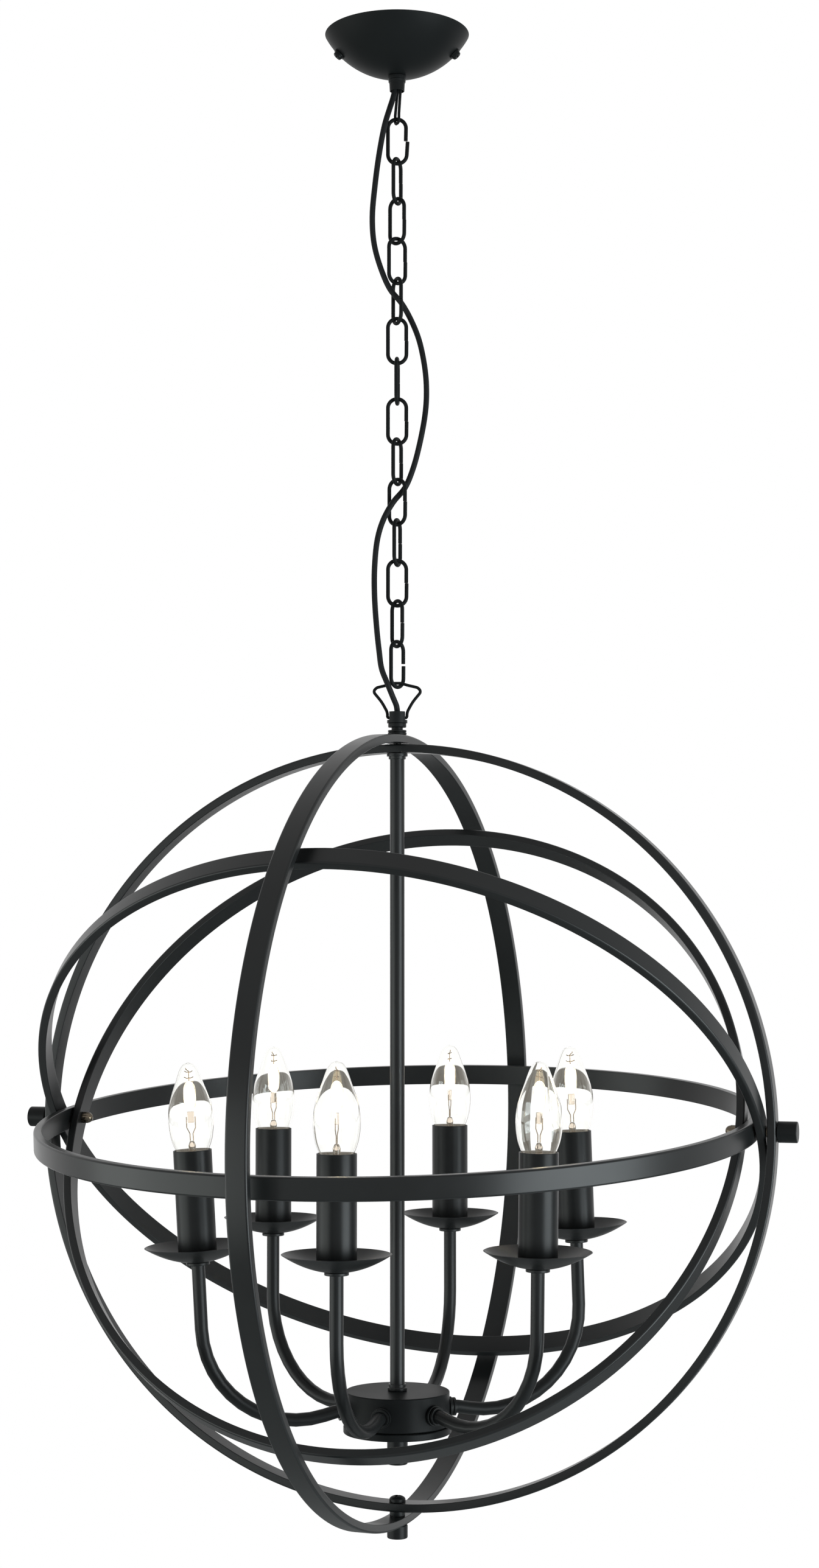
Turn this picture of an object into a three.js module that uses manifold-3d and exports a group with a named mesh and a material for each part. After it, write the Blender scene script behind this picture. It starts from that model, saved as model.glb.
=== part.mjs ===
// Orb chandelier: five nested metal rings and a six-arm candle cluster, hung on a chain from a ceiling rose.
// Millimetres, +Z up. The origin is on the ceiling, above the chain. +X runs along the pins of the rings.
import * as THREE from "three";
import { mergeVertices } from "three/addons/utils/BufferGeometryUtils.js";
import Module from "manifold-3d";

const wasm = await Module();
wasm.setup();

// Fits
const CLEARANCE = 0.3;
const CUT_OVERRUN = 3;

// Ring bands, nested with a running gap
const ORB_DIAMETER = 612;
const BAND_WIDTH = 16.5;
const BAND_THICKNESS = 6.6;
const BAND_EDGE = 1.4;
const RING_GAP = 1.4;
const OUTER_RING_GAP = 2.4;
const TOP_RUNNING_GAP = 0.9;
const RING_STEPS = 48;

// Angles of the rings at rest, in degrees
const TURNING_RING_TURN = -3.7;
const LARGE_RING_TILT = -44.8;
const MIDDLE_RING_TILT = 5.1;
const SMALL_RING_TILT = 58.3;

// Pins that carry the tilting rings
const PIN_DIAMETER = 6;
const PIN_WASHER_DIAMETER = 9;
const KNOB_DIAMETER = 16;
const KNOB_LENGTH = 15;
const KNOB_EDGE = 1;
const DOME_NUT_DIAMETER = 9;
const DOME_NUT_BODY = 4;
const DOME_NUT_LENGTH = 8;
const PIN_SIDES = 10;

// Stem, with the threaded rod that runs on at both ends
const STEM_DIAMETER = 11.4;
const ROD_DIAMETER = 6;
const STEM_FLANGE_DIAMETER = 16.4;
const STEM_FLANGE_THICKNESS = 2.4;
const STEM_FOOT_DIAMETER = 15;
const STEM_FOOT_HEIGHT = 5;
const ROD_IN_COLLAR = 5;
const ROD_IN_FINIAL = 12;
const STEM_SIDES = 12;

// Screw, spacer and knob at the bottom of the orb
const SCREW_HEAD_DIAMETER = 12.6;
const SCREW_HEAD_HEIGHT = 4.3;
const SCREW_DIAMETER = 5;
const SPACER_DIAMETER = 12;
const BOTTOM_KNOB_DIAMETER = 16;
const BOTTOM_KNOB_LENGTH = 10;
const SCREW_IN_KNOB = 7;

// Hub, above the screw at the bottom of the orb
const FINIAL_ABOVE_SCREW = 23.8;
const HUB_DIAMETER = 81;
const HUB_HEIGHT = 26;
const HUB_WALL = 2.5;
const HUB_EDGE = 1;
const HUB_COVER_DIAMETER = 83.8;
const HUB_COVER_THICKNESS = 5.5;
const HUB_COVER_STEP = 2;
const HUB_SIDES = 24;
const FINIAL_DIAMETER = 16;
const FINIAL_LENGTH = 24;
const FINIAL_EDGE = 1;

// Arms
const ARM_COUNT = 6;
const FIRST_ARM_ANGLE = 30;
const ARM_CIRCLE_DIAMETER = 299;
const ARM_TUBE_DIAMETER = 10.2;
const ARM_AXIS_BELOW_HUB_TOP = 14;
const ARM_BEND_RADIUS = 76;
const ARM_BEND_STEPS = 5;
const ARM_DIP_ANGLE = 12;
const ARM_SPIGOT = 7;
const ARM_STRAIGHT = 2;
// How far each arm leans out, bent by hand where it leaves its collar, in degrees
const ARM_LEANS = [-1.9, 0, 0, 3.2, 0, 1];
const ARM_SIDES = 8;
const ARM_COLLAR_DIAMETER = 15.6;
const ARM_COLLAR_RING_DIAMETER = 14;
const ARM_COLLAR_NECK_DIAMETER = 12;
const ARM_COLLAR_LENGTH = 5.4;
const ARM_COLLAR_RING = 2.2;
const ARM_FLANGE_DIAMETER = 18;
const ARM_FLANGE_THICKNESS = 2.2;
const NIPPLE_DIAMETER = 8;
const NIPPLE_ABOVE_CUP = 6;
const ARM_COLLAR_SIDES = 10;

// Drip cups
const CUP_DIAMETER = 80.6;
const CUP_ABOVE_HUB = 109.5;
const CUP_DEPTH = 12.3;
const CUP_FLOOR = 2.6;
const CUP_RIM = 0.6;
const CUP_SEAT_MARGIN = 0.7;
const CUP_SIDES = 16;
const CUP_OUTER_STEPS = 3;
const CUP_INNER_STEPS = 2;

// Candle sleeves with the lamp holder inside
const SLEEVE_DIAMETER = 29.5;
const SLEEVE_WALL = 1.2;
const SLEEVE_LENGTH = 82.1;
const HOLDER_DEPTH = 25;
const HOLDER_THICKNESS = 8;
const SLEEVE_SIDES = 14;

// Candle bulbs
const BULB_DIAMETER = 35;
const BULB_GLASS_HEIGHT = 67;
const BULB_CAP_DIAMETER = 14;
const BULB_CAP_HEIGHT = 14;
const BULB_SHOULDER_DIAMETER = 20;
const BULB_SHOULDER_HEIGHT = 18;
const BULB_SIDES = 10;
// Height and radius of the glass above the sleeve, as shares of its height and largest radius
const BULB_OUTLINE_SHARES = [
  [0, 0.735],
  [0.13, 0.91],
  [0.32, 1],
  [0.5, 0.945],
  [0.68, 0.77],
  [0.85, 0.47],
  [0.95, 0.22],
];

// Ceiling rose: a shallow dome on a bracket
const CANOPY_DIAMETER = 115.2;
const CANOPY_DEPTH = 33.5;
const CANOPY_WALL = 1.2;
const CANOPY_SIDES = 28;
const CANOPY_OUTER_STEPS = 5;
const CANOPY_INNER_STEPS = 3;
const BRACKET_WIDTH = 16;
const BRACKET_THICKNESS = 2.5;
const BRACKET_RIM_MARGIN = 8;
const BRACKET_TAB_LENGTH = 10;
const BRACKET_TAB_GAP = 2.2;
const BRACKET_NUT_DIAMETER = 18;
const BRACKET_NUT_HEIGHT = 6;
const SIDE_SCREW_ANGLE = 43.8;
const SIDE_SCREW_DIAMETER = 4;
const SIDE_SCREW_HEAD_DIAMETER = 7.4;
const SIDE_SCREW_HEAD_HEIGHT = 2.6;
const SIDE_SCREW_WASHER_DIAMETER = 9.6;
const SIDE_SCREW_WASHER_THICKNESS = 1;
const SIDE_SCREW_PAST_TAB = 2;
const SMALL_SIDES = 8;

// Collar under the ceiling rose, with the wire loop that holds the chain
const HANGER_PIPE_DIAMETER = 10;
const HANGER_FLANGE_DIAMETER = 14.4;
const HANGER_FLANGE_HEIGHT = 4.8;
const HANGER_BODY_DIAMETER = 12;
const HANGER_BODY_LENGTH = 7.2;
const HANGER_MOUTH_DIAMETER = 10.6;
const HANGER_MOUTH_DEPTH = 5.2;
const HANGER_WIRE_DIAMETER = 2.3;
const HANGER_LOOP_WIDTH = 7.2;
const HANGER_LOOP_OFFSET = 1.7;
const HANGER_LOOP_DROP = 27.3;

// Chain
const LINK_COUNT = 14;
const LINK_WIRE_DIAMETER = 3.1;
const LINK_LENGTH = 39.1;
const LINK_PLAY = 0.6;
const LINK_WIDTH = 17.7;
const LINK_BUTT_GAP = 0.4;
const LINK_OPEN_GAP = 1.6;
const LINK_SIDES = 6;
const LINK_ARC_STEPS = 6;
// Turn of the chain against the pins, and of each link against the chain, in degrees
const CHAIN_TURN = 16.4;
const LINK_TURNS = [0, 67, -39, 29, -64, 0, 85, 0, 65, -31, 72, 7, -56, 49];

// Bail between the chain and the orb
const BAIL_WIRE_DIAMETER = 2.4;
const BAIL_WIDTH = 36;
const BAIL_RISE = 27.4;
const BAIL_SIDES = 6;
const BAIL_FOOT_INSIDE = 1.8;
// Half outline of the bail's wire from its foot to its top, as shares of its half width and its height
const BAIL_OUTLINE_SHARES = [
  [0.428, 0.17],
  [0.67, 0.45],
  [0.97, 0.69],
  [1, 0.79],
  [0.87, 0.872],
  [0.47, 0.935],
  [0.18, 0.995],
];

// Collar on top of the orb, above the turning ring
const COLLAR_DIAMETER = 16;
const COLLAR_HEIGHT = 8.9;
const COLLAR_FLAT_WIDTH = 12.4;
const COLLAR_FLAT_HEIGHT = 6.6;
const COLLAR_PIVOT_BELOW_TOP = 4.4;
const COLLAR_MOUTH_DIAMETER = 7.2;
const COLLAR_MOUTH_DEPTH = 4.4;
const LOCK_RING_DIAMETER = 14.3;
const LOCK_RING_HEIGHT = 3.6;
const COLLAR_NECK_DIAMETER = 9;
const COLLAR_NECK_HEIGHT = 2.1;
const TOP_WASHER_DIAMETER = 14.8;
const TOP_WASHER_HEIGHT = 3.4;
const COLLAR_SIDES = 14;

// Power cable, woven down the chain
const CABLE_DIAMETER = 4.6;
const CABLE_SIDES = 8;
const CABLE_STEPS = 50;
// Points of its centre line in the chain's own turned frame: across, away and up
const CABLE_ROUTE = [
  [-1.9, 0, -41.2],
  [-2.1, -0.2, -46],
  [-3.3, -1.4, -52],
  [-5.9, -3.6, -61],
  [-9.8, -5.6, -75],
  [-14, -5.5, -97],
  [-17.5, -4.5, -123],
  [-19.7, -3.2, -149],
  [-18.2, -2, -170.6],
  [-12.5, -1, -191],
  [-5.4, -0.6, -206.8],
  [3.2, 1.8, -216.8],
  [10.2, 4.5, -228.4],
  [17.3, 6, -245.6],
  [22.2, 6, -270],
  [23.3, 5.2, -289],
  [22.2, 4.6, -306],
  [17.6, 4.2, -331],
  [12.2, 4, -351],
  [6.1, 3, -365.5],
  [-3.2, -0.8, -377.6],
  [-10.8, -3.2, -391.7],
  [-15.4, -4.5, -407],
  [-17.7, -5.5, -429],
  [-17.8, -6.5, -452],
  [-16.1, -7.6, -478],
  [-14.1, -8.4, -497],
  [-12.1, -8.8, -511],
  [-7.6, -8, -522.5],
  [-3.3, -4.4, -533],
  [-0.6, -0.8, -539.5],
  [0, 0, -544],
  [0, 0, -548],
];

// Finishes: colour, roughness, metalness
const FINISHES = {
  blackPaint: { color: 0x1f2223, roughness: 0.42, metalness: 0.35 },
  blackCable: { color: 0x161819, roughness: 0.5, metalness: 0 },
  zincSteel: { color: 0x9a9c9b, roughness: 0.45, metalness: 0.9 },
  clearGlass: { color: 0xf4ead8, roughness: 0.05, metalness: 0 },
};

// Worked-out radii of the nested rings, outside first
const turningRingRadius = ORB_DIAMETER / 2;
const frameRingRadius = turningRingRadius - BAND_THICKNESS - OUTER_RING_GAP;
const largeRingRadius = frameRingRadius - BAND_THICKNESS - RING_GAP;
const middleRingRadius = largeRingRadius - BAND_THICKNESS - RING_GAP;
const smallRingRadius = middleRingRadius - BAND_THICKNESS - RING_GAP;
const turningRingDrop = OUTER_RING_GAP - TOP_RUNNING_GAP;

const radians = THREE.MathUtils.degToRad;

// How far the flat facets of a ring fall away at a distance from one of its corners
function facetDip(distance) {
  return distance * Math.tan(Math.PI / RING_STEPS);
}

// A path through given points that keeps each of them as a step of the sweep
class BentPath extends THREE.Curve {
  constructor(points) {
    super();
    this.points = points;
  }
  getPointAt(share) {
    const place = share * (this.points.length - 1);
    const index = Math.min(Math.floor(place), this.points.length - 2);
    return this.points[index].clone().lerp(this.points[index + 1], place - index);
  }
  getTangentAt(share) {
    const last = this.points.length - 1;
    const index = Math.round(share * last);
    const before = this.points[Math.max(index - 1, 0)];
    const here = this.points[index];
    const after = this.points[Math.min(index + 1, last)];
    const along = new THREE.Vector3();
    if (index > 0) along.add(here.clone().sub(before).normalize());
    if (index < last) along.add(after.clone().sub(here).normalize());
    return along.normalize();
  }
}

function roundSection(radius, sides) {
  const corners = [];
  for (let i = 0; i < sides; i++) {
    const angle = (2 * Math.PI * i) / sides;
    corners.push(new THREE.Vector2(radius * Math.cos(angle), radius * Math.sin(angle)));
  }
  return new THREE.Shape(corners);
}

function sweep(path, steps, radius, sides) {
  return new THREE.ExtrudeGeometry(roundSection(radius, sides), {
    steps,
    bevelEnabled: false,
    extrudePath: path,
  });
}

function bentTube(points, radius, sides) {
  return sweep(new BentPath(points), points.length - 1, radius, sides);
}

// A turned piece about Z. Its profile of radius and height climbs on the outside.
function turned(profile, sides) {
  const points = profile.map(([radius, height]) => new THREE.Vector2(radius, height));
  return new THREE.LatheGeometry(points, sides).rotateX(Math.PI / 2);
}

// A rod, or a cutter for a hole: the flats of its few sides lie at the given radius
function rod(radius, length) {
  const corner = radius / Math.cos(Math.PI / SMALL_SIDES);
  return new THREE.CylinderGeometry(corner, corner, length, SMALL_SIDES);
}

function rodAlongX(radius, length) {
  return rod(radius, length).rotateZ(Math.PI / 2);
}

function rodAlongZ(radius, length) {
  return rod(radius, length).rotateX(Math.PI / 2);
}

function solidOf(geometry) {
  const bare = new THREE.BufferGeometry();
  bare.setAttribute("position", geometry.getAttribute("position"));
  if (geometry.index) bare.setIndex(geometry.index);
  const merged = mergeVertices(bare, CLEARANCE / 100);
  return new wasm.Manifold(
    new wasm.Mesh({
      numProp: 3,
      vertProperties: merged.attributes.position.array,
      triVerts: new Uint32Array(merged.index.array),
    }),
  );
}

function geometryOf(solid) {
  const { vertProperties, triVerts } = solid.getMesh();
  const geometry = new THREE.BufferGeometry();
  geometry.setAttribute("position", new THREE.BufferAttribute(vertProperties, 3));
  geometry.setIndex(new THREE.BufferAttribute(triVerts, 1));
  return geometry;
}

function joined(...geometries) {
  return geometryOf(geometries.map(solidOf).reduce((whole, piece) => whole.add(piece)));
}

function cut(geometry, ...cutters) {
  return geometryOf(cutters.map(solidOf).reduce((rest, cutter) => rest.subtract(cutter), solidOf(geometry)));
}

function piece(parent, name, geometry, finish) {
  const shaded = geometry.index ? geometry.toNonIndexed() : geometry;
  shaded.computeVertexNormals();
  const mesh = new THREE.Mesh(shaded, new THREE.MeshStandardMaterial(FINISHES[finish]));
  mesh.name = name;
  parent.add(mesh);
  return mesh;
}

// Ceiling rose

const canopyRadius = CANOPY_DIAMETER / 2;
const domeRadius = (canopyRadius ** 2 + CANOPY_DEPTH ** 2) / (2 * CANOPY_DEPTH);
const domeCentre = domeRadius - CANOPY_DEPTH;
const hangerPipeRadius = HANGER_PIPE_DIAMETER / 2;

// Points of a dome arc of a given radius from a distance off the axis up to the ceiling
function domeArc(radius, fromDistance, steps) {
  const first = Math.asin(fromDistance / radius);
  const last = Math.acos(domeCentre / radius);
  const points = [];
  for (let i = 0; i <= steps; i++) {
    const angle = first + ((last - first) * i) / steps;
    points.push([radius * Math.sin(angle), domeCentre - radius * Math.cos(angle)]);
  }
  return points;
}

// A cylinder on the axis of one side screw, from one distance off the dome's centre to another
function alongSideScrew(radius, from, to) {
  const shank = rodAlongZ(radius, to - from);
  shank.translate(0, 0, -(from + to) / 2);
  shank.rotateY(-radians(SIDE_SCREW_ANGLE));
  return shank.translate(0, 0, domeCentre);
}

function sideScrewCutters() {
  const hole = SIDE_SCREW_DIAMETER / 2 + CLEARANCE;
  const inner = domeRadius / 2;
  const outer = domeRadius + CUT_OVERRUN;
  const right = alongSideScrew(hole, inner, outer);
  return [right, right.clone().rotateZ(Math.PI)];
}

function canopy() {
  const hole = hangerPipeRadius + CLEARANCE;
  const outside = domeArc(domeRadius, hole, CANOPY_OUTER_STEPS);
  const inside = domeArc(domeRadius - CANOPY_WALL, hole, CANOPY_INNER_STEPS).reverse();
  return cut(turned([...outside, ...inside, outside[0]], CANOPY_SIDES), ...sideScrewCutters());
}

const tabDistance = domeRadius - CANOPY_WALL - BRACKET_TAB_GAP;

// Outline of a strip of even thickness whose outer face follows the given points
function strip(points, thickness) {
  const inner = points.map((point, i) => {
    const before = points[Math.max(i - 1, 0)];
    const after = points[Math.min(i + 1, points.length - 1)];
    const into = new THREE.Vector2().subVectors(i > 0 ? point : after, i > 0 ? before : point).normalize();
    const out = new THREE.Vector2()
      .subVectors(i < points.length - 1 ? after : point, i < points.length - 1 ? point : before)
      .normalize();
    const across = new THREE.Vector2(into.y + out.y, -into.x - out.x).normalize();
    const reach = thickness / across.dot(new THREE.Vector2(into.y, -into.x));
    return point.clone().addScaledVector(across, reach);
  });
  return new THREE.Shape([...points, ...inner.reverse()]);
}

function ceilingBracket() {
  const tilt = radians(SIDE_SCREW_ANGLE);
  const tab = new THREE.Vector2(tabDistance * Math.sin(tilt), domeCentre - tabDistance * Math.cos(tilt));
  const along = new THREE.Vector2(Math.cos(tilt), Math.sin(tilt));
  const half = [
    tab.clone().addScaledVector(along, -BRACKET_TAB_LENGTH / 2),
    tab.clone().addScaledVector(along, BRACKET_TAB_LENGTH / 2),
    new THREE.Vector2(canopyRadius - BRACKET_RIM_MARGIN, 0),
  ];
  const mirrored = half.map((point) => new THREE.Vector2(-point.x, point.y));
  const outline = strip([...mirrored, ...half.reverse()], BRACKET_THICKNESS);
  const bar = new THREE.ExtrudeGeometry(outline, { depth: BRACKET_WIDTH, bevelEnabled: false });
  bar.translate(0, 0, -BRACKET_WIDTH / 2);
  bar.rotateX(Math.PI / 2);
  const nutBottom = -BRACKET_THICKNESS - BRACKET_NUT_HEIGHT;
  const nutRadius = BRACKET_NUT_DIAMETER / 2;
  const nut = turned(
    [
      [0, nutBottom],
      [nutRadius, nutBottom],
      [nutRadius, -BRACKET_THICKNESS / 2],
      [0, -BRACKET_THICKNESS / 2],
    ],
    LINK_SIDES,
  );
  const bore = rodAlongZ(hangerPipeRadius + CLEARANCE, BRACKET_NUT_HEIGHT * 2);
  bore.translate(0, 0, -BRACKET_THICKNESS - BRACKET_NUT_HEIGHT);
  return cut(joined(bar, nut), bore, ...sideScrewCutters());
}

function sideScrew() {
  const washerInner = domeRadius + CLEARANCE;
  const washerOuter = washerInner + SIDE_SCREW_WASHER_THICKNESS;
  const headOuter = washerOuter + SIDE_SCREW_HEAD_HEIGHT;
  const tip = tabDistance - BRACKET_THICKNESS - SIDE_SCREW_PAST_TAB;
  return joined(
    alongSideScrew(SIDE_SCREW_DIAMETER / 2, tip, headOuter - SIDE_SCREW_HEAD_HEIGHT / 2),
    alongSideScrew(SIDE_SCREW_WASHER_DIAMETER / 2, washerInner, washerOuter),
    alongSideScrew(SIDE_SCREW_HEAD_DIAMETER / 2, washerOuter - SIDE_SCREW_WASHER_THICKNESS / 2, headOuter),
  );
}

// Heights of the collar under the ceiling rose
const hangerFlangeTop = -CANOPY_DEPTH - CLEARANCE;
const hangerFlangeBottom = hangerFlangeTop - HANGER_FLANGE_HEIGHT;
const hangerMouth = hangerFlangeBottom - HANGER_BODY_LENGTH;
const hangerWireRadius = HANGER_WIRE_DIAMETER / 2;
const hangerLoopBottom = hangerMouth - HANGER_LOOP_DROP;

function canopyCollar() {
  const pipeTop = -BRACKET_THICKNESS - CLEARANCE;
  const body = turned(
    [
      [0, hangerMouth + HANGER_MOUTH_DEPTH],
      [HANGER_MOUTH_DIAMETER / 2, hangerMouth + HANGER_MOUTH_DEPTH],
      [HANGER_MOUTH_DIAMETER / 2, hangerMouth],
      [HANGER_BODY_DIAMETER / 2, hangerMouth],
      [HANGER_BODY_DIAMETER / 2, hangerFlangeBottom],
      [HANGER_FLANGE_DIAMETER / 2, hangerFlangeBottom],
      [HANGER_FLANGE_DIAMETER / 2, hangerFlangeTop],
      [hangerPipeRadius, hangerFlangeTop],
      [hangerPipeRadius, pipeTop],
      [0, pipeTop],
    ],
    STEM_SIDES,
  );
  const half = HANGER_LOOP_WIDTH / 2;
  const centre = hangerLoopBottom + hangerWireRadius + half;
  const root = hangerMouth + HANGER_MOUTH_DEPTH + hangerWireRadius;
  const rootHalf = (HANGER_MOUTH_DIAMETER / 2 - hangerWireRadius) * Math.cos(Math.PI / 4);
  const side = [
    new THREE.Vector3(HANGER_LOOP_OFFSET, -rootHalf, root),
    new THREE.Vector3(HANGER_LOOP_OFFSET, -rootHalf, hangerMouth),
    new THREE.Vector3(0, -half, centre + half),
  ];
  const points = [...side];
  for (let i = 0; i <= LINK_ARC_STEPS; i++) {
    const angle = (Math.PI * i) / LINK_ARC_STEPS;
    points.push(new THREE.Vector3(0, -half * Math.cos(angle), centre - half * Math.sin(angle)));
  }
  for (const point of side.reverse()) points.push(new THREE.Vector3(point.x, -point.y, point.z));
  return joined(body, bentTube(points, hangerWireRadius, BAIL_SIDES));
}

// Chain

const linkWireRadius = LINK_WIRE_DIAMETER / 2;
const linkPitch = LINK_LENGTH - 2 * LINK_WIRE_DIAMETER - LINK_PLAY;
const linkReach = LINK_LENGTH / 2 - LINK_WIRE_DIAMETER;
const firstLinkHeight = hangerLoopBottom + HANGER_WIRE_DIAMETER + LINK_PLAY - linkReach;
const linkHeight = (index) => firstLinkHeight - index * linkPitch;

// One link in the XZ plane. Its wire is closed with a butt joint in the middle of one side.
function chainLink(gap) {
  const across = LINK_WIDTH / 2 - linkWireRadius;
  const up = LINK_LENGTH / 2 - linkWireRadius - across;
  const points = [new THREE.Vector3(across, 0, -gap / 2)];
  for (const end of [1, -1]) {
    for (let i = 0; i <= LINK_ARC_STEPS; i++) {
      const angle = (Math.PI * i) / LINK_ARC_STEPS;
      points.push(
        new THREE.Vector3(end * across * Math.cos(angle), 0, end * (-up - across * Math.sin(angle))),
      );
    }
  }
  points.push(new THREE.Vector3(across, 0, gap / 2));
  return bentTube(points, linkWireRadius, LINK_SIDES);
}

function powerCable() {
  const points = CABLE_ROUTE.map((place) => new THREE.Vector3(...place));
  const route = new THREE.CatmullRomCurve3(points, false, "centripetal");
  return sweep(route, CABLE_STEPS, CABLE_DIAMETER / 2, CABLE_SIDES);
}

// Collar on top of the orb and the bail, with heights from the orb's centre

const rodHoleRadius = ROD_DIAMETER / 2 + CLEARANCE;
const turningRingTop = turningRingRadius - turningRingDrop;
const topWasherBottom = turningRingTop + CLEARANCE;
const topWasherTop = topWasherBottom + TOP_WASHER_HEIGHT;
const neckTop = topWasherTop + COLLAR_NECK_HEIGHT;
const lockRingTop = neckTop + LOCK_RING_HEIGHT;
const collarTop = lockRingTop + COLLAR_HEIGHT;
const bailPivot = collarTop - COLLAR_PIVOT_BELOW_TOP;
const bailWireRadius = BAIL_WIRE_DIAMETER / 2;
const bailTop = bailPivot + BAIL_RISE;

// Height of the orb's centre, which hangs from the last link by the bail
const lastLinkBottom = linkHeight(LINK_COUNT - 1) - linkReach;
const orbHeight = lastLinkBottom + LINK_PLAY + bailWireRadius - bailTop;

function topCollar() {
  const body = turned(
    [
      [rodHoleRadius, topWasherBottom],
      [TOP_WASHER_DIAMETER / 2, topWasherBottom],
      [TOP_WASHER_DIAMETER / 2, topWasherTop],
      [COLLAR_NECK_DIAMETER / 2, topWasherTop],
      [COLLAR_NECK_DIAMETER / 2, neckTop],
      [LOCK_RING_DIAMETER / 2, neckTop],
      [LOCK_RING_DIAMETER / 2, lockRingTop - CLEARANCE],
      [COLLAR_DIAMETER / 2, lockRingTop],
      [COLLAR_DIAMETER / 2, collarTop],
      [COLLAR_MOUTH_DIAMETER / 2, collarTop],
      [COLLAR_MOUTH_DIAMETER / 2, collarTop - COLLAR_MOUTH_DEPTH],
      [0, collarTop - COLLAR_MOUTH_DEPTH],
      [0, topWasherTop + ROD_IN_COLLAR + CLEARANCE],
      [rodHoleRadius, topWasherTop + ROD_IN_COLLAR + CLEARANCE],
      [rodHoleRadius, topWasherBottom],
    ],
    COLLAR_SIDES,
  );
  const beside = COLLAR_DIAMETER;
  const flats = [1, -1].map((side) => {
    const block = new THREE.BoxGeometry(beside, COLLAR_DIAMETER * 2, COLLAR_FLAT_HEIGHT * 2);
    return block.translate(side * (COLLAR_FLAT_WIDTH / 2 + beside / 2), 0, collarTop);
  });
  const pivotInner = COLLAR_FLAT_WIDTH / 2 - BAIL_FOOT_INSIDE - CLEARANCE;
  const pivotHoles = [1, -1].map((side) => {
    const hole = rodAlongX(bailWireRadius + CLEARANCE, beside);
    return hole.translate(side * (pivotInner + beside / 2), 0, bailPivot);
  });
  return cut(body, ...flats, ...pivotHoles);
}

function bail() {
  const footAcross = COLLAR_FLAT_WIDTH / 2 + CLEARANCE + bailWireRadius;
  const half = BAIL_OUTLINE_SHARES.map(
    ([across, up]) => new THREE.Vector3((across * BAIL_WIDTH) / 2, 0, bailPivot + up * BAIL_RISE),
  );
  half.unshift(new THREE.Vector3(footAcross, 0, bailPivot));
  half[1].x = footAcross;
  const mirrored = half.map((point) => new THREE.Vector3(-point.x, 0, point.z)).reverse();
  const wire = bentTube([...half, ...mirrored], bailWireRadius, BAIL_SIDES);
  const footLength = bailWireRadius * 2 + CLEARANCE + BAIL_FOOT_INSIDE;
  const feet = [1, -1].map((side) => {
    const foot = rodAlongX(bailWireRadius - CLEARANCE / 4, footLength);
    return foot.translate(side * (footAcross + bailWireRadius - footLength / 2), 0, bailPivot);
  });
  return joined(wire, ...feet);
}

// Rings, in the XZ plane about the orb's centre

function band(radius) {
  const inner = radius - BAND_THICKNESS;
  const side = BAND_WIDTH / 2;
  const outline = [
    [radius, -side + BAND_EDGE],
    [radius, side - BAND_EDGE],
    [radius - BAND_EDGE, side],
    [inner, side],
    [inner, -side],
    [radius - BAND_EDGE, -side],
    [radius, -side + BAND_EDGE],
  ];
  const points = outline.map(([distance, height]) => new THREE.Vector2(distance, height));
  return new THREE.LatheGeometry(points, RING_STEPS);
}

function ringWithPinHoles(radius) {
  return cut(band(radius), rodAlongX(PIN_DIAMETER / 2 + CLEARANCE, 2 * radius + CUT_OVERRUN));
}

function turningRing() {
  const length = 2 * turningRingRadius + CUT_OVERRUN;
  return cut(band(turningRingRadius), rodAlongZ(rodHoleRadius, length));
}

function frameRing() {
  const length = 2 * frameRingRadius + CUT_OVERRUN;
  return cut(ringWithPinHoles(frameRingRadius), rodAlongZ(rodHoleRadius, length));
}

// One pin about Z, to be turned onto X: knob outside, washers between the rings, dome nut inside
function pin() {
  const radius = PIN_DIAMETER / 2;
  const washer = PIN_WASHER_DIAMETER / 2;
  const washerThickness = RING_GAP - 2 * CLEARANCE - facetDip(washer);
  const knob = KNOB_DIAMETER / 2;
  const knobStart = frameRingRadius + CLEARANCE;
  const knobEnd = knobStart + KNOB_LENGTH;
  const nut = DOME_NUT_DIAMETER / 2;
  const nutTop = smallRingRadius - BAND_THICKNESS - facetDip(nut) - CLEARANCE;
  const domeHeight = DOME_NUT_LENGTH - DOME_NUT_BODY;
  const domeRing = Math.PI / 4;
  const profile = [
    [0, nutTop - DOME_NUT_LENGTH],
    [nut * Math.sin(domeRing), nutTop - DOME_NUT_BODY - domeHeight * Math.cos(domeRing)],
    [nut, nutTop - DOME_NUT_BODY],
    [nut, nutTop],
    [radius, nutTop],
  ];
  for (const ring of [smallRingRadius, middleRingRadius, largeRingRadius]) {
    profile.push(
      [radius, ring + CLEARANCE],
      [washer, ring + CLEARANCE],
      [washer, ring + CLEARANCE + washerThickness],
      [radius, ring + CLEARANCE + washerThickness],
    );
  }
  profile.push(
    [radius, knobStart],
    [knob, knobStart],
    [knob, knobEnd - KNOB_EDGE],
    [knob - KNOB_EDGE, knobEnd],
    [0, knobEnd],
  );
  return turned(profile, PIN_SIDES);
}

// Screw head inside the bottom of the frame ring, and the stack that stands above it up to the hub

const screwHeadRadius = SCREW_HEAD_DIAMETER / 2;
const screwHeadInset = BAND_THICKNESS + facetDip(screwHeadRadius) + CLEARANCE;
const screwHeadBottom = -frameRingRadius + screwHeadInset;
const screwHeadTop = screwHeadBottom + SCREW_HEAD_HEIGHT;
const finialBottom = screwHeadTop + FINIAL_ABOVE_SCREW;
const finialTop = finialBottom + FINIAL_LENGTH;
const coverBottom = finialTop + CLEARANCE;
const coverTop = coverBottom + HUB_COVER_THICKNESS;
const hubBottom = coverTop + CLEARANCE;
const hubTop = hubBottom + HUB_HEIGHT;
const hubRadius = HUB_DIAMETER / 2;
const hubInner = hubRadius - HUB_WALL;
const armHeight = hubTop - ARM_AXIS_BELOW_HUB_TOP;

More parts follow.
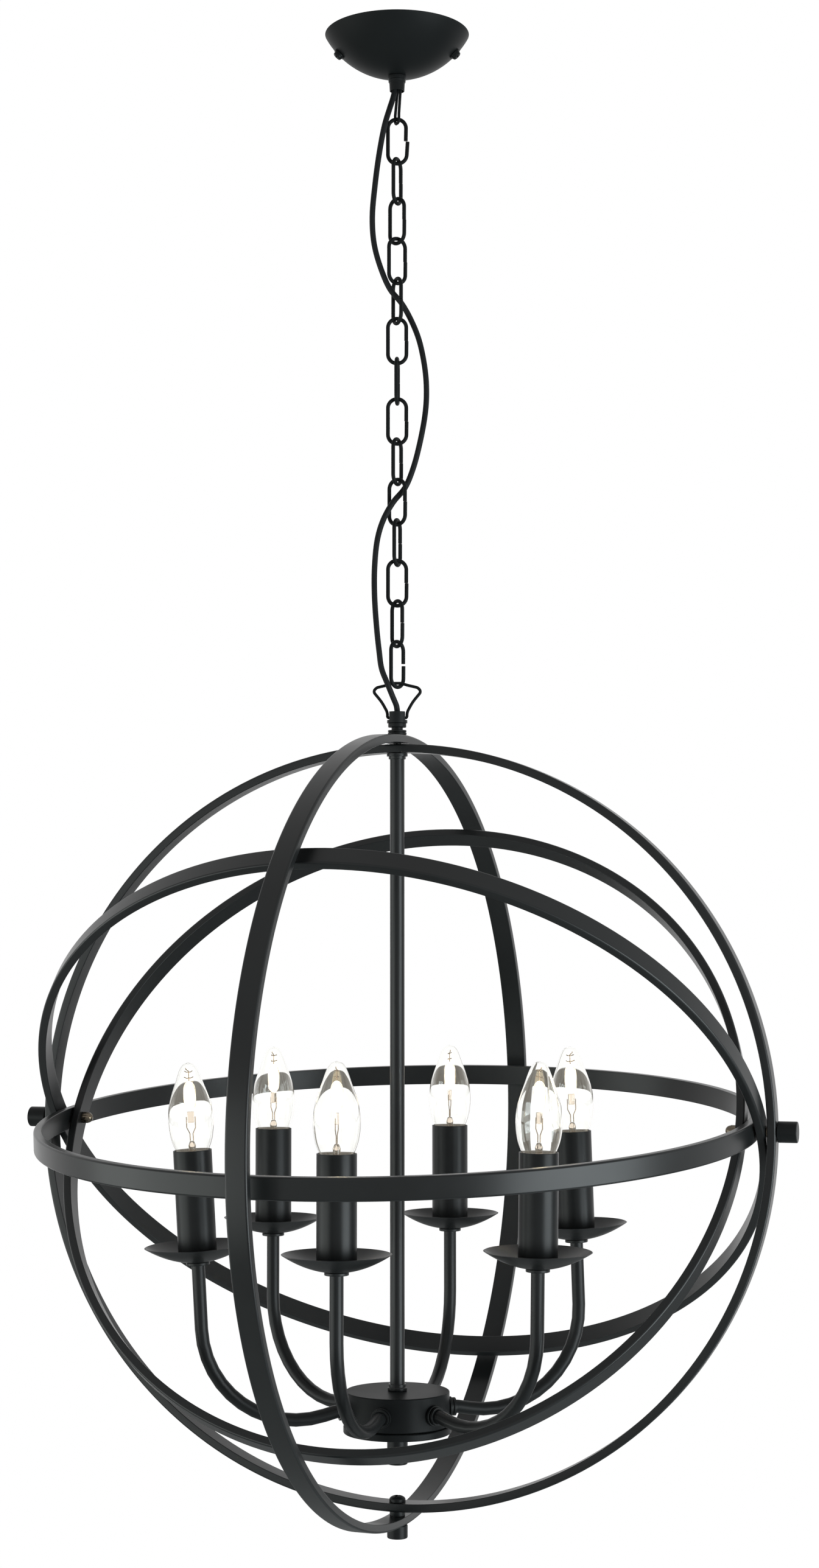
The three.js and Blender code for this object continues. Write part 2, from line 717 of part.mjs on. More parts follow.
function stem() {
  const thread = ROD_DIAMETER / 2;
  const flange = STEM_FLANGE_DIAMETER / 2;
  const flangeTop = frameRingRadius - BAND_THICKNESS - facetDip(flange) - CLEARANCE;
  const flangeBottom = flangeTop - STEM_FLANGE_THICKNESS;
  const footBottom = hubTop + CLEARANCE;
  const footTop = footBottom + STEM_FOOT_HEIGHT;
  const foot = STEM_FOOT_DIAMETER / 2;
  const tube = STEM_DIAMETER / 2;
  return turned(
    [
      [0, finialTop - ROD_IN_FINIAL],
      [thread, finialTop - ROD_IN_FINIAL],
      [thread, footBottom],
      [foot, footBottom],
      [foot, footTop],
      [tube, footTop],
      [tube, flangeBottom],
      [flange, flangeBottom],
      [flange, flangeTop],
      [thread, flangeTop],
      [thread, topWasherTop + ROD_IN_COLLAR],
      [0, topWasherTop + ROD_IN_COLLAR],
    ],
    STEM_SIDES,
  );
}

function hubBody() {
  const shell = turned(
    [
      [rodHoleRadius, hubTop - HUB_WALL],
      [hubInner, hubTop - HUB_WALL],
      [hubInner, hubBottom],
      [hubRadius, hubBottom],
      [hubRadius, hubTop - HUB_EDGE],
      [hubRadius - HUB_EDGE, hubTop],
      [rodHoleRadius, hubTop],
      [rodHoleRadius, hubTop - HUB_WALL],
    ],
    HUB_SIDES,
  );
  const holes = [];
  for (let i = 0; i < ARM_COUNT; i++) {
    const hole = rodAlongX(ARM_TUBE_DIAMETER / 2 + CLEARANCE, hubRadius);
    hole.translate(hubRadius, 0, armHeight);
    holes.push(hole.rotateZ(armAngle(i)));
  }
  return cut(shell, ...holes);
}

function hubCover() {
  const cover = HUB_COVER_DIAMETER / 2;
  const step = hubInner - CLEARANCE;
  return turned(
    [
      [rodHoleRadius, coverBottom],
      [cover - HUB_EDGE, coverBottom],
      [cover, coverBottom + HUB_EDGE],
      [cover, coverTop - HUB_EDGE],
      [cover - HUB_EDGE, coverTop],
      [step, coverTop],
      [step, coverTop + HUB_COVER_STEP],
      [rodHoleRadius, coverTop + HUB_COVER_STEP],
      [rodHoleRadius, coverBottom],
    ],
    HUB_SIDES,
  );
}

function finial() {
  const radius = FINIAL_DIAMETER / 2;
  const boreEnd = finialTop - ROD_IN_FINIAL - CLEARANCE;
  return turned(
    [
      [0, finialBottom],
      [radius - FINIAL_EDGE, finialBottom],
      [radius, finialBottom + FINIAL_EDGE],
      [radius, finialTop],
      [rodHoleRadius, finialTop],
      [rodHoleRadius, boreEnd],
      [0, boreEnd],
    ],
    STEM_SIDES,
  );
}

// Screw through the bottom of the two fixed crossings, its spacer and its knob

const screwRadius = SCREW_DIAMETER / 2;
const turningRingBottom = -turningRingRadius - turningRingDrop;
const bottomKnobTop = turningRingBottom - CLEARANCE;
const screwEnd = bottomKnobTop - SCREW_IN_KNOB;

function bottomScrew() {
  const spacer = SPACER_DIAMETER / 2;
  const spacerTop = -frameRingRadius - CLEARANCE;
  const spacerBottom = turningRingBottom + BAND_THICKNESS + facetDip(spacer) + CLEARANCE;
  return turned(
    [
      [0, screwEnd],
      [screwRadius, screwEnd],
      [screwRadius, spacerBottom],
      [spacer, spacerBottom],
      [spacer, spacerTop],
      [screwRadius, spacerTop],
      [screwRadius, screwHeadBottom],
      [screwHeadRadius, screwHeadBottom],
      [screwHeadRadius, screwHeadBottom + SCREW_HEAD_HEIGHT / 2],
      [screwHeadRadius / 2, screwHeadTop],
      [0, screwHeadTop],
    ],
    STEM_SIDES,
  );
}

function bottomKnob() {
  const radius = BOTTOM_KNOB_DIAMETER / 2;
  const bottom = bottomKnobTop - BOTTOM_KNOB_LENGTH;
  const bore = screwRadius + CLEARANCE;
  return turned(
    [
      [0, bottom],
      [radius - KNOB_EDGE, bottom],
      [radius, bottom + KNOB_EDGE],
      [radius, bottomKnobTop],
      [bore, bottomKnobTop],
      [bore, screwEnd - CLEARANCE],
      [0, screwEnd - CLEARANCE],
    ],
    STEM_SIDES,
  );
}

// Arms, cups, sleeves and bulbs

const armRadius = ARM_CIRCLE_DIAMETER / 2;
const cupBottom = hubTop + CUP_ABOVE_HUB;
const cupFloor = cupBottom + CUP_FLOOR;
const armFlangeTop = cupBottom - CLEARANCE;
const sleeveRadius = SLEEVE_DIAMETER / 2;
const sleeveBottom = cupFloor + CLEARANCE;
const sleeveTop = sleeveBottom + SLEEVE_LENGTH;
const holderTop = sleeveTop - HOLDER_DEPTH;

function armAngle(index) {
  return radians(FIRST_ARM_ANGLE + (index * 360) / ARM_COUNT);
}

const collarStart = hubRadius + CLEARANCE;
const collarEnd = collarStart + ARM_COLLAR_LENGTH;
const straightEnd = collarEnd + ARM_STRAIGHT;

// A shape of the XZ plane leaned out about the point where the arm leaves its collar
function leaned(geometry, lean) {
  geometry.translate(-straightEnd, 0, -armHeight);
  return geometry.rotateY(lean).translate(straightEnd, 0, armHeight);
}

// One arm in the XZ plane: out of the hub, a slight dip, and a wide bend up to its cup
function arm(lean) {
  const tube = ARM_TUBE_DIAMETER / 2;
  const dip = radians(ARM_DIP_ANGLE);
  const bendCentre = armRadius - ARM_BEND_RADIUS;
  const bendStart = bendCentre - ARM_BEND_RADIUS * Math.sin(dip);
  const bendHeight =
    armHeight - (bendStart - straightEnd) * Math.tan(dip) + ARM_BEND_RADIUS * Math.cos(dip);
  const points = [
    new THREE.Vector3(hubInner - ARM_SPIGOT, 0, armHeight),
    new THREE.Vector3(straightEnd, 0, armHeight),
  ];
  for (let i = 0; i <= ARM_BEND_STEPS; i++) {
    const angle = -Math.PI / 2 - dip + ((Math.PI / 2 + dip) * i) / ARM_BEND_STEPS;
    points.push(
      new THREE.Vector3(
        bendCentre + ARM_BEND_RADIUS * Math.cos(angle),
        0,
        bendHeight + ARM_BEND_RADIUS * Math.sin(angle),
      ),
    );
  }
  points.push(new THREE.Vector3(armRadius, 0, armFlangeTop - ARM_FLANGE_THICKNESS / 2));
  const straight = new THREE.Vector3(straightEnd, 0, armHeight);
  const sideways = new THREE.Vector3(0, 1, 0);
  for (const point of points.slice(2)) {
    point.sub(straight).applyAxisAngle(sideways, lean).add(straight);
  }
  const collar = turned(
    [
      [0, collarStart],
      [ARM_COLLAR_DIAMETER / 2, collarStart],
      [ARM_COLLAR_DIAMETER / 2, collarStart + ARM_COLLAR_RING],
      [ARM_COLLAR_NECK_DIAMETER / 2, collarStart + ARM_COLLAR_RING],
      [ARM_COLLAR_NECK_DIAMETER / 2, collarEnd - ARM_COLLAR_RING],
      [ARM_COLLAR_RING_DIAMETER / 2, collarEnd - ARM_COLLAR_RING],
      [ARM_COLLAR_RING_DIAMETER / 2, collarEnd],
      [0, collarEnd],
    ],
    ARM_COLLAR_SIDES,
  );
  collar.rotateY(Math.PI / 2).translate(0, 0, armHeight);
  const nippleTop = cupFloor + NIPPLE_ABOVE_CUP;
  const top = turned(
    [
      [0, armFlangeTop - ARM_FLANGE_THICKNESS],
      [ARM_FLANGE_DIAMETER / 2, armFlangeTop - ARM_FLANGE_THICKNESS],
      [ARM_FLANGE_DIAMETER / 2, armFlangeTop],
      [NIPPLE_DIAMETER / 2, armFlangeTop],
      [NIPPLE_DIAMETER / 2, nippleTop],
      [0, nippleTop],
    ],
    ARM_COLLAR_SIDES,
  );
  top.translate(armRadius, 0, 0);
  return joined(bentTube(points, tube, ARM_SIDES), collar, leaned(top, lean));
}

// Points of a shallow bowl curve from one radius and height out to another
function bowlCurve(fromRadius, fromHeight, toRadius, toHeight, steps) {
  const points = [];
  for (let i = 0; i <= steps; i++) {
    const radius = fromRadius + ((toRadius - fromRadius) * i) / steps;
    const share = (radius ** 2 - fromRadius ** 2) / (toRadius ** 2 - fromRadius ** 2);
    points.push([radius, fromHeight + share * (toHeight - fromHeight)]);
  }
  return points;
}

function cup() {
  const hole = NIPPLE_DIAMETER / 2 + CLEARANCE;
  const rim = CUP_DIAMETER / 2;
  const rimHeight = cupBottom + CUP_DEPTH;
  const seat = ARM_FLANGE_DIAMETER / 2 + CUP_SEAT_MARGIN;
  const floor = sleeveRadius + CUP_SEAT_MARGIN;
  const outside = bowlCurve(seat, cupBottom, rim, rimHeight, CUP_OUTER_STEPS);
  const inside = bowlCurve(floor, cupFloor, rim - CUP_RIM, rimHeight + CUP_RIM / 2, CUP_INNER_STEPS);
  return turned(
    [[hole, cupBottom], ...outside, ...inside.reverse(), [hole, cupFloor], [hole, cupBottom]],
    CUP_SIDES,
  );
}

function sleeve() {
  const inner = sleeveRadius - SLEEVE_WALL;
  return turned(
    [
      [0, holderTop - HOLDER_THICKNESS],
      [inner, holderTop - HOLDER_THICKNESS],
      [inner, sleeveBottom],
      [sleeveRadius, sleeveBottom],
      [sleeveRadius, sleeveTop],
      [inner, sleeveTop],
      [inner, holderTop],
      [0, holderTop],
    ],
    SLEEVE_SIDES,
  );
}

function bulb() {
  const capBottom = holderTop + CLEARANCE;
  const capTop = capBottom + BULB_CAP_HEIGHT;
  const glass = BULB_OUTLINE_SHARES.map(([up, across]) => [
    (across * BULB_DIAMETER) / 2,
    sleeveTop + up * BULB_GLASS_HEIGHT,
  ]);
  return turned(
    [
      [0, capBottom],
      [BULB_CAP_DIAMETER / 2, capBottom],
      [BULB_CAP_DIAMETER / 2, capTop],
      [BULB_SHOULDER_DIAMETER / 2, capBottom + BULB_SHOULDER_HEIGHT],
      ...glass,
      [0, sleeveTop + BULB_GLASS_HEIGHT],
    ],
    BULB_SIDES,
  );
}

// Assembly

const chandelier = new THREE.Group();

const hanging = new THREE.Group();
hanging.rotation.z = radians(CHAIN_TURN);
chandelier.add(hanging);

piece(hanging, "ceiling_bracket", ceilingBracket(), "zincSteel");
piece(hanging, "canopy", canopy(), "blackPaint");
piece(hanging, "canopy_screw_right", sideScrew(), "blackPaint");
piece(hanging, "canopy_screw_left", sideScrew(), "blackPaint").rotation.z = Math.PI;
piece(hanging, "canopy_collar", canopyCollar(), "blackPaint");

for (let i = 0; i < LINK_COUNT; i++) {
  const open = i === 0 || i === LINK_COUNT - 1;
  const name = "chain_link_" + String(i + 1).padStart(2, "0");
  const link = piece(hanging, name, chainLink(open ? LINK_OPEN_GAP : LINK_BUTT_GAP), "blackPaint");
  link.position.z = linkHeight(i);
  link.rotation.z = radians(LINK_TURNS[i]);
}
piece(hanging, "power_cable", powerCable(), "blackCable");

const orb = new THREE.Group();
orb.position.z = orbHeight;
chandelier.add(orb);

piece(orb, "bail", bail(), "blackPaint").rotation.z = radians(CHAIN_TURN);
piece(orb, "top_collar", topCollar(), "blackPaint").rotation.z = radians(CHAIN_TURN);

const turning = piece(orb, "turning_ring", turningRing(), "blackPaint");
turning.position.z = -turningRingDrop;
turning.rotation.z = Math.PI / 2 + radians(TURNING_RING_TURN);
piece(orb, "frame_ring", frameRing(), "blackPaint");

const tiltingRings = [
  ["large_tilting_ring", largeRingRadius, LARGE_RING_TILT],
  ["middle_tilting_ring", middleRingRadius, MIDDLE_RING_TILT],
  ["small_tilting_ring", smallRingRadius, SMALL_RING_TILT],
];
for (const [name, radius, tilt] of tiltingRings) {
  piece(orb, name, ringWithPinHoles(radius), "blackPaint").rotation.x = Math.PI / 2 + radians(tilt);
}

piece(orb, "pin_right", pin(), "blackPaint").rotation.y = Math.PI / 2;
piece(orb, "pin_left", pin(), "blackPaint").rotation.y = -Math.PI / 2;
piece(orb, "bottom_screw", bottomScrew(), "blackPaint");
piece(orb, "bottom_knob", bottomKnob(), "blackPaint");

piece(orb, "stem", stem(), "blackPaint");
piece(orb, "hub_body", hubBody(), "blackPaint");
piece(orb, "hub_cover", hubCover(), "blackPaint");
piece(orb, "finial", finial(), "blackPaint");

for (let i = 0; i < ARM_COUNT; i++) {
  const branch = new THREE.Group();
  const lean = radians(ARM_LEANS[i]);
  branch.rotation.z = armAngle(i);
  orb.add(branch);
  piece(branch, "arm_" + (i + 1), arm(lean), "blackPaint");
  const candle = [
    ["cup_", cup(), "blackPaint"],
    ["sleeve_", sleeve(), "blackPaint"],
    ["bulb_", bulb(), "clearGlass"],
  ];
  for (const [name, geometry, paint] of candle) {
    piece(branch, name + (i + 1), leaned(geometry.translate(armRadius, 0, 0), lean), paint);
  }
}

export default chandelier;
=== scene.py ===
import math

import bpy
from mathutils import Matrix, Vector


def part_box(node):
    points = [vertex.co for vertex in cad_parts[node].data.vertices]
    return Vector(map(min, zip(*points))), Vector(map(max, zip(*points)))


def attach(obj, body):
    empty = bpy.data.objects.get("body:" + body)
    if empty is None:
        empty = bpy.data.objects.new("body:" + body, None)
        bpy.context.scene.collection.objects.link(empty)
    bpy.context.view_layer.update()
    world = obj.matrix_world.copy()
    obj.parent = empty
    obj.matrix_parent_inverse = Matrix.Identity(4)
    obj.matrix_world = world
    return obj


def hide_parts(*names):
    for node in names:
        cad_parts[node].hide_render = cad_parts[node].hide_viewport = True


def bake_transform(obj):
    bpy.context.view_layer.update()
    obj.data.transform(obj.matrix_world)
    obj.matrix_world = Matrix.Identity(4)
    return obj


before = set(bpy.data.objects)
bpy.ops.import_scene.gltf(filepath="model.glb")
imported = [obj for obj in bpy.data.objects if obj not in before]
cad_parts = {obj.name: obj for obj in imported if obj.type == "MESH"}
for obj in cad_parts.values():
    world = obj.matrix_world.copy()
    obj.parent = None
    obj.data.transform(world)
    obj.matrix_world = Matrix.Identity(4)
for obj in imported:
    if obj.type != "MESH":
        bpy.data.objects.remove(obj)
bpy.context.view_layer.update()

bl_info = {
    "name": "Orb Chandelier",
    "version": (1, 0, 0),
    "blender": (4, 5, 0),
    "location": "3D View > Sidebar > Chandelier",
    "description": "Models an orb chandelier with its rings, chain, cable, arms and bulbs",
    "category": "Add Mesh",
}

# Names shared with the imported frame
ROOT_BODY = "ceiling"
ORB_BODY = "orb"
BAIL_BODY = "bail"
PAINT_SLOT = "black_paint"
GLASS_SLOT = "clear_glass"
LINK_COUNT = 14
ARM_COUNT = 6

# Turn of each link against the chain, in degrees
LINK_TURNS = (0, 67, -39, 29, -64, 0, 85, 0, 65, -31, 72, 7, -56, 49)

# How far each arm leans out, bent by hand where it leaves its collar, in degrees
ARM_LEANS = (-1.9, 0, 0, 3.2, 0, 1)

# The cable's way down the chain, in metres in the chain's own turned frame: across, away and up
CABLE_ROUTE = (
    (-0.0019, 0, -0.0412), (-0.0021, -0.0002, -0.046), (-0.0033, -0.0014, -0.052),
    (-0.0059, -0.0036, -0.061), (-0.0098, -0.0056, -0.075), (-0.014, -0.0055, -0.097),
    (-0.0175, -0.0045, -0.123), (-0.0197, -0.0032, -0.149), (-0.0182, -0.002, -0.1706),
    (-0.0125, -0.001, -0.191), (-0.0054, -0.0006, -0.2068), (0.0032, 0.0018, -0.2168),
    (0.0102, 0.0045, -0.2284), (0.0173, 0.006, -0.2456), (0.0222, 0.006, -0.27),
    (0.0233, 0.0052, -0.289), (0.0222, 0.0046, -0.306), (0.0176, 0.0042, -0.331),
    (0.0122, 0.004, -0.351), (0.0061, 0.003, -0.3655), (-0.0032, -0.0008, -0.3776),
    (-0.0108, -0.0032, -0.3917), (-0.0154, -0.0045, -0.407), (-0.0177, -0.0055, -0.429),
    (-0.0178, -0.0065, -0.452), (-0.0161, -0.0076, -0.478), (-0.0141, -0.0084, -0.497),
    (-0.0121, -0.0088, -0.511), (-0.0076, -0.008, -0.5225), (-0.0033, -0.0044, -0.533),
    (-0.0006, -0.0008, -0.5395), (0, 0, -0.544), (0, 0, -0.548),
)
ROUTE_STEPS = 6

# Steps of turned and bent shapes
RING_STEPS = 240
TURN_STEPS = 64
SMALL_TURN_STEPS = 40
WIRE_SIDES = 16
ARC_STEP = math.radians(9)
SMOOTH_ANGLE = math.radians(32)

CLEARANCE = 0.0003
MERGE_DISTANCE = 1e-6

# Tones and glass that every finish shares
# Lighter tone at sharp edges: partly worn coat, partly a painted highlight
WORN_EDGE_HIGHLIGHT_TONE = (0.05, 0.054, 0.056)
DUST_TONE = (0.05, 0.052, 0.05)
# Colour of the faint glow painted on the bulbs' glass, standing in for the filament's light
GLASS_GLOW_TONE = (1.0, 0.87, 0.68, 1)
GLASS_IOR = 1.35
WHITE = (1, 1, 1, 1)


def length(name, description, default):
    return bpy.props.FloatProperty(
        name=name, description=description, default=default, min=0, unit="LENGTH", precision=5
    )


def angle(name, description, degrees):
    return bpy.props.FloatProperty(
        name=name, description=description, default=math.radians(degrees), subtype="ANGLE"
    )


def colour(name, description, default):
    return bpy.props.FloatVectorProperty(
        name=name, description=description, default=default, min=0, max=1, size=3, subtype="COLOR"
    )


class OrbSizes(bpy.types.PropertyGroup):
    """Sizes of the nested rings, their pins and the screw at the bottom"""

    diameter: length("Orb diameter", "Outside diameter of the outermost ring", 0.612)
    band_width: length("Band width", "Width of each ring's flat band", 0.0165)
    band_thickness: length("Band thickness", "Thickness of each ring's band", 0.0066)
    outer_edge: length("Outer edge", "Rounding of a band's two outer edges", 0.0017)
    inner_edge: length("Inner edge", "Rounding of a band's two inner edges", 0.0006)
    ring_gap: length("Ring gap", "Gap between the rings that share the pins", 0.0014)
    outer_gap: length("Outer ring gap", "Gap between the two outermost rings at their sides", 0.0024)
    top_gap: length("Top running gap", "Gap between the two outermost rings at the top", 0.0009)
    turning_turn: angle("Outer ring turn", "Turn of the outermost ring about the stem", -3.7)
    large_tilt: angle("Large ring tilt", "Tilt of the largest tilting ring", -44.8)
    middle_tilt: angle("Middle ring tilt", "Tilt of the middle tilting ring", 5.1)
    small_tilt: angle("Small ring tilt", "Tilt of the smallest tilting ring", 58.3)
    pin_diameter: length("Pin diameter", "Shaft of the side pins", 0.006)
    washer_diameter: length("Washer diameter", "Washers between the rings", 0.009)
    knob_diameter: length("Knob diameter", "Knob at each end of the pins", 0.016)
    knob_length: length("Knob length", "Length of the side knobs", 0.015)
    nut_diameter: length("Cap nut diameter", "Cap nut inside the smallest ring", 0.009)
    nut_length: length("Cap nut length", "Length of the cap nut with its dome", 0.008)
    rod_diameter: length("Rod diameter", "Threaded rod through the stem", 0.006)
    screw_diameter: length("Screw diameter", "Screw through the bottom of the rings", 0.005)
    screw_head_diameter: length("Screw head diameter", "Pan head inside the ring", 0.0126)
    spacer_diameter: length("Spacer diameter", "Spacer between the two outermost rings", 0.012)
    bottom_knob_diameter: length("Bottom knob diameter", "Knob under the orb", 0.016)


class HangerSizes(bpy.types.PropertyGroup):
    """Sizes of the ceiling rose, the chain, the cable and the bail"""

    chain_turn: angle("Chain turn", "Turn of the ceiling rose and the chain against the pins", 16.4)
    rose_diameter: length("Rose diameter", "Ceiling rose across its rim", 0.1152)
    rose_depth: length("Rose depth", "Depth of the ceiling rose", 0.0335)
    rose_wall: length("Rose wall", "Sheet thickness of the ceiling rose", 0.0012)
    screw_angle: angle("Side screw angle", "Angle of the side screws from straight down", 43.8)
    collar_diameter: length("Collar diameter", "Collar under the ceiling rose", 0.012)
    collar_flange: length("Collar flange", "Flange on top of the collar", 0.0144)
    loop_wire: length("Loop wire", "Wire of the loop that holds the chain", 0.0023)
    loop_width: length("Loop width", "Width of that loop at its bottom", 0.0072)
    link_wire: length("Link wire", "Wire of the chain's links", 0.0031)
    link_length: length("Link length", "Outside length of a link", 0.0391)
    link_width: length("Link width", "Outside width of a link", 0.0177)
    link_gap: length("Link butt gap", "Butt joint of a closed link", 0.0004)
    open_gap: length("Open link gap", "Gap of the last link, and twice that of the first", 0.0018)
    open_spread: length("Open link spread", "How far the first link's lower end stands out", 0.0011)
    cable_diameter: length("Cable diameter", "Round power cable", 0.0046)
    bail_wire: length("Bail wire", "Wire of the bail", 0.0024)
    bail_width: length("Bail width", "Width of the bail between its wire's centres", 0.036)
    bail_rise: length("Bail rise", "Height of the bail above its feet", 0.0274)
    top_collar: length("Top collar", "Collar between the bail and the rings", 0.016)


class CandleSizes(bpy.types.PropertyGroup):
    """Sizes of the stem, the hub, the arms and the candles"""

    stem_diameter: length("Stem diameter", "Tube down the middle of the orb", 0.0114)
    stem_flange: length("Stem flange", "Flange washer at the top of the stem", 0.0164)
    stem_foot: length("Stem foot", "Collar at the foot of the stem", 0.015)
    hub_diameter: length("Hub diameter", "Round hub that carries the arms", 0.081)
    hub_wall: length("Hub wall", "Wall of the hub", 0.0025)
    cover_diameter: length("Cover diameter", "Cover plate under the hub", 0.0838)
    finial_diameter: length("Finial diameter", "Plain nut under the hub", 0.016)
    arm_circle: length("Arm circle", "Circle through the middles of the candles", 0.299)
    arm_tube: length("Arm tube", "Tube of an arm", 0.0102)
    arm_bend: length("Arm bend", "Radius of an arm's wide bend", 0.076)
    arm_dip: angle("Arm dip", "How far an arm falls before it bends up", 12)
    cup_diameter: length("Cup diameter", "Drip cup across its rim", 0.0806)
    cup_depth: length("Cup depth", "Depth of a drip cup", 0.0123)
    sleeve_diameter: length("Sleeve diameter", "Candle sleeve", 0.0295)
    sleeve_wall: length("Sleeve wall", "Wall of a candle sleeve", 0.0012)
    bulb_diameter: length("Bulb diameter", "Candle bulb at its widest", 0.035)
    bulb_height: length("Bulb height", "Glass above the sleeve", 0.067)
    glass_wall: length("Glass wall", "Glass thickness of a bulb", 0.0005)


class Finishes(bpy.types.PropertyGroup):
    """Colours and surfaces of the chandelier"""

    paint: colour("Paint", "Satin black coat of the metal", (0.0060, 0.0066, 0.0068))
    paint_light: colour("Paint light tone", "Lighter drift in the coat", (0.0080, 0.0090, 0.0092))
    cable: colour("Cable", "Cable jacket", (0.0085, 0.0090, 0.0095))
    brass: colour("Dark brass", "Cap nuts and washers of the pins", (0.120, 0.100, 0.075))
    zinc: colour("Zinc", "Plated bracket in the ceiling rose", (0.46, 0.47, 0.46))
    glow: colour("Glow", "Light of the bulbs", (1.0, 0.84, 0.60))
    glow_strength: bpy.props.FloatProperty(
        name="Glow strength", description="Brightness of the filaments", default=6.0, min=0
    )


class StudioSettings(bpy.types.PropertyGroup):
    """Light and surroundings of the picture"""

    floor_drop: length("Floor drop", "Floor below the ceiling", 2.6)
    floor_radius: length("Floor radius", "Radius of the round floor", 5.0)
    backdrop: colour("Backdrop", "Colour of the floor and the surroundings", (0.9, 0.9, 0.9))
    ambient: bpy.props.FloatProperty(
        name="Ambient", description="Even light from all sides", default=0.16, min=0
    )


def orb_sizes():
    return bpy.context.scene.chandelier_orb


def hanger_sizes():
    return bpy.context.scene.chandelier_hanger


def candle_sizes():
    return bpy.context.scene.chandelier_candles


def finishes():
    return bpy.context.scene.chandelier_finishes


def top_of(node):
    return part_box(node)[1].z


def bottom_of(node):
    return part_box(node)[0].z


def middle_of(node):
    low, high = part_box(node)
    return (low + high) / 2


ORB_CENTRE = middle_of("frame_ring").z


def link_name(index):
    return "chain_link_%02d" % (index + 1)


def link_body(index):
    return "link_%02d" % (index + 1)


MATERIALS = {}


# Modelling


def deselect_all():
    bpy.ops.object.select_all(action="DESELECT")


def activate(piece):
    deselect_all()
    piece.select_set(True)
    bpy.context.view_layer.objects.active = piece


def named(name):
    """Name the primitive that was just added and put its place into its mesh"""
    piece = bpy.context.object
    piece.name = name
    piece.data.name = name
    bpy.ops.object.transform_apply(location=True, rotation=True, scale=True)
    return piece


def place(piece, matrix):
    """Put a piece where it belongs, with its object left at the origin"""
    activate(piece)
    piece.matrix_world = matrix
    bpy.ops.object.transform_apply(location=True, rotation=True, scale=True)
    return piece


def copied(piece, name, matrix):
    """A copy of a piece with a mesh of its own"""
    activate(piece)
    bpy.ops.object.duplicate(linked=False)
    twin = bpy.context.object
    twin.name = name
    twin.data.name = name
    return place(twin, matrix)


def close_up():
    """Merge what lies together and point all faces outwards, in edit mode"""
    bpy.ops.mesh.select_all(action="SELECT")
    bpy.ops.mesh.remove_doubles(threshold=MERGE_DISTANCE)
    bpy.ops.mesh.normals_make_consistent(inside=False)
    bpy.ops.object.mode_set(mode="OBJECT")


def turned(name, profile, steps=TURN_STEPS):
    """A turned piece about Z: a point is extruded along a profile of radius and height, then spun"""
    deselect_all()
    bpy.ops.mesh.primitive_plane_add(size=0.01, location=(0, 0, 0))
    piece = named(name)
    bpy.ops.object.mode_set(mode="EDIT")
    bpy.ops.mesh.merge(type="CENTER")
    bpy.ops.transform.translate(value=(profile[0][0], 0, profile[0][1]))
    for before, here in zip(profile, profile[1:]):
        step = (here[0] - before[0], 0, here[1] - before[1])
        bpy.ops.mesh.extrude_vertices_move(TRANSFORM_OT_translate={"value": step})
    bpy.ops.mesh.select_all(action="SELECT")
    bpy.ops.mesh.spin(steps=steps, angle=math.tau, center=(0, 0, 0), axis=(0, 0, 1))
    close_up()
    return piece


def bent(name, corners, radius, bend, sides=WIRE_SIDES):
    """A bent wire or tube: a round face is pushed along and spun round each corner by a bending radius"""
    points = [Vector(corner) for corner in corners]
    bends = bend if isinstance(bend, list) else [bend] * (len(points) - 2)
    heading = (points[1] - points[0]).normalized()
    deselect_all()
    bpy.ops.mesh.primitive_circle_add(
        vertices=sides,
        radius=radius,
        fill_type="NGON",
        location=points[0],
        rotation=heading.to_track_quat("Z", "Y").to_euler(),
    )
    piece = named(name)
    bpy.ops.object.mode_set(mode="EDIT")
    here = points[0]
    for before, corner, after, bend in zip(points, points[1:], points[2:], bends):
        into = (corner - before).normalized()
        out = (after - corner).normalized()
        turn = into.angle(out)
        setback = bend * math.tan(turn / 2)
        start = corner - into * setback
        if (start - here).length > CLEARANCE / 10:
            bpy.ops.mesh.extrude_region_move(TRANSFORM_OT_translate={"value": start - here})
        axis = into.cross(out).normalized()
        bpy.ops.mesh.spin(
            steps=max(2, math.ceil(turn / ARC_STEP)),
            angle=-turn,
            center=start + axis.cross(into) * bend,
            axis=axis,
        )
        here = corner + out * setback
    bpy.ops.mesh.extrude_region_move(TRANSFORM_OT_translate={"value": points[-1] - here})
    close_up()
    return piece


def rod(name, radius, start, end, sides=SMALL_TURN_STEPS):
    """A plain cylinder from one point to another, for cutting holes"""
    start, end = Vector(start), Vector(end)
    deselect_all()
    bpy.ops.mesh.primitive_cylinder_add(
        vertices=sides,
        radius=radius,
        depth=(end - start).length,
        location=(start + end) / 2,
        rotation=(end - start).to_track_quat("Z", "Y").to_euler(),
    )
    return named(name)


def block(name, low, high):
    """A plain block between two corners, for cutting"""
    low, high = Vector(low), Vector(high)
    deselect_all()
    bpy.ops.mesh.primitive_cube_add(size=1, location=(low + high) / 2)
    bpy.context.object.scale = high - low
    return named(name)


def combine(piece, other, operation):
    """Cut another solid out of a piece, or join it on, and remove that solid"""
    modifier = piece.modifiers.new(operation.title(), "BOOLEAN")
    modifier.operation = operation
    modifier.solver = "EXACT"
    modifier.object = other
    activate(piece)
    bpy.ops.object.modifier_apply(modifier=modifier.name)
    bpy.data.objects.remove(other)
    return piece


def soften(piece, width, segments=2, limit=math.radians(40)):
    """Round a piece's edges"""
    modifier = piece.modifiers.new("Rounded edges", "BEVEL")
    modifier.width = width
    modifier.segments = segments
    modifier.limit_method = "ANGLE"
    modifier.angle_limit = limit
    modifier.use_clamp_overlap = True
    activate(piece)
    bpy.ops.object.modifier_apply(modifier=modifier.name)
    return piece


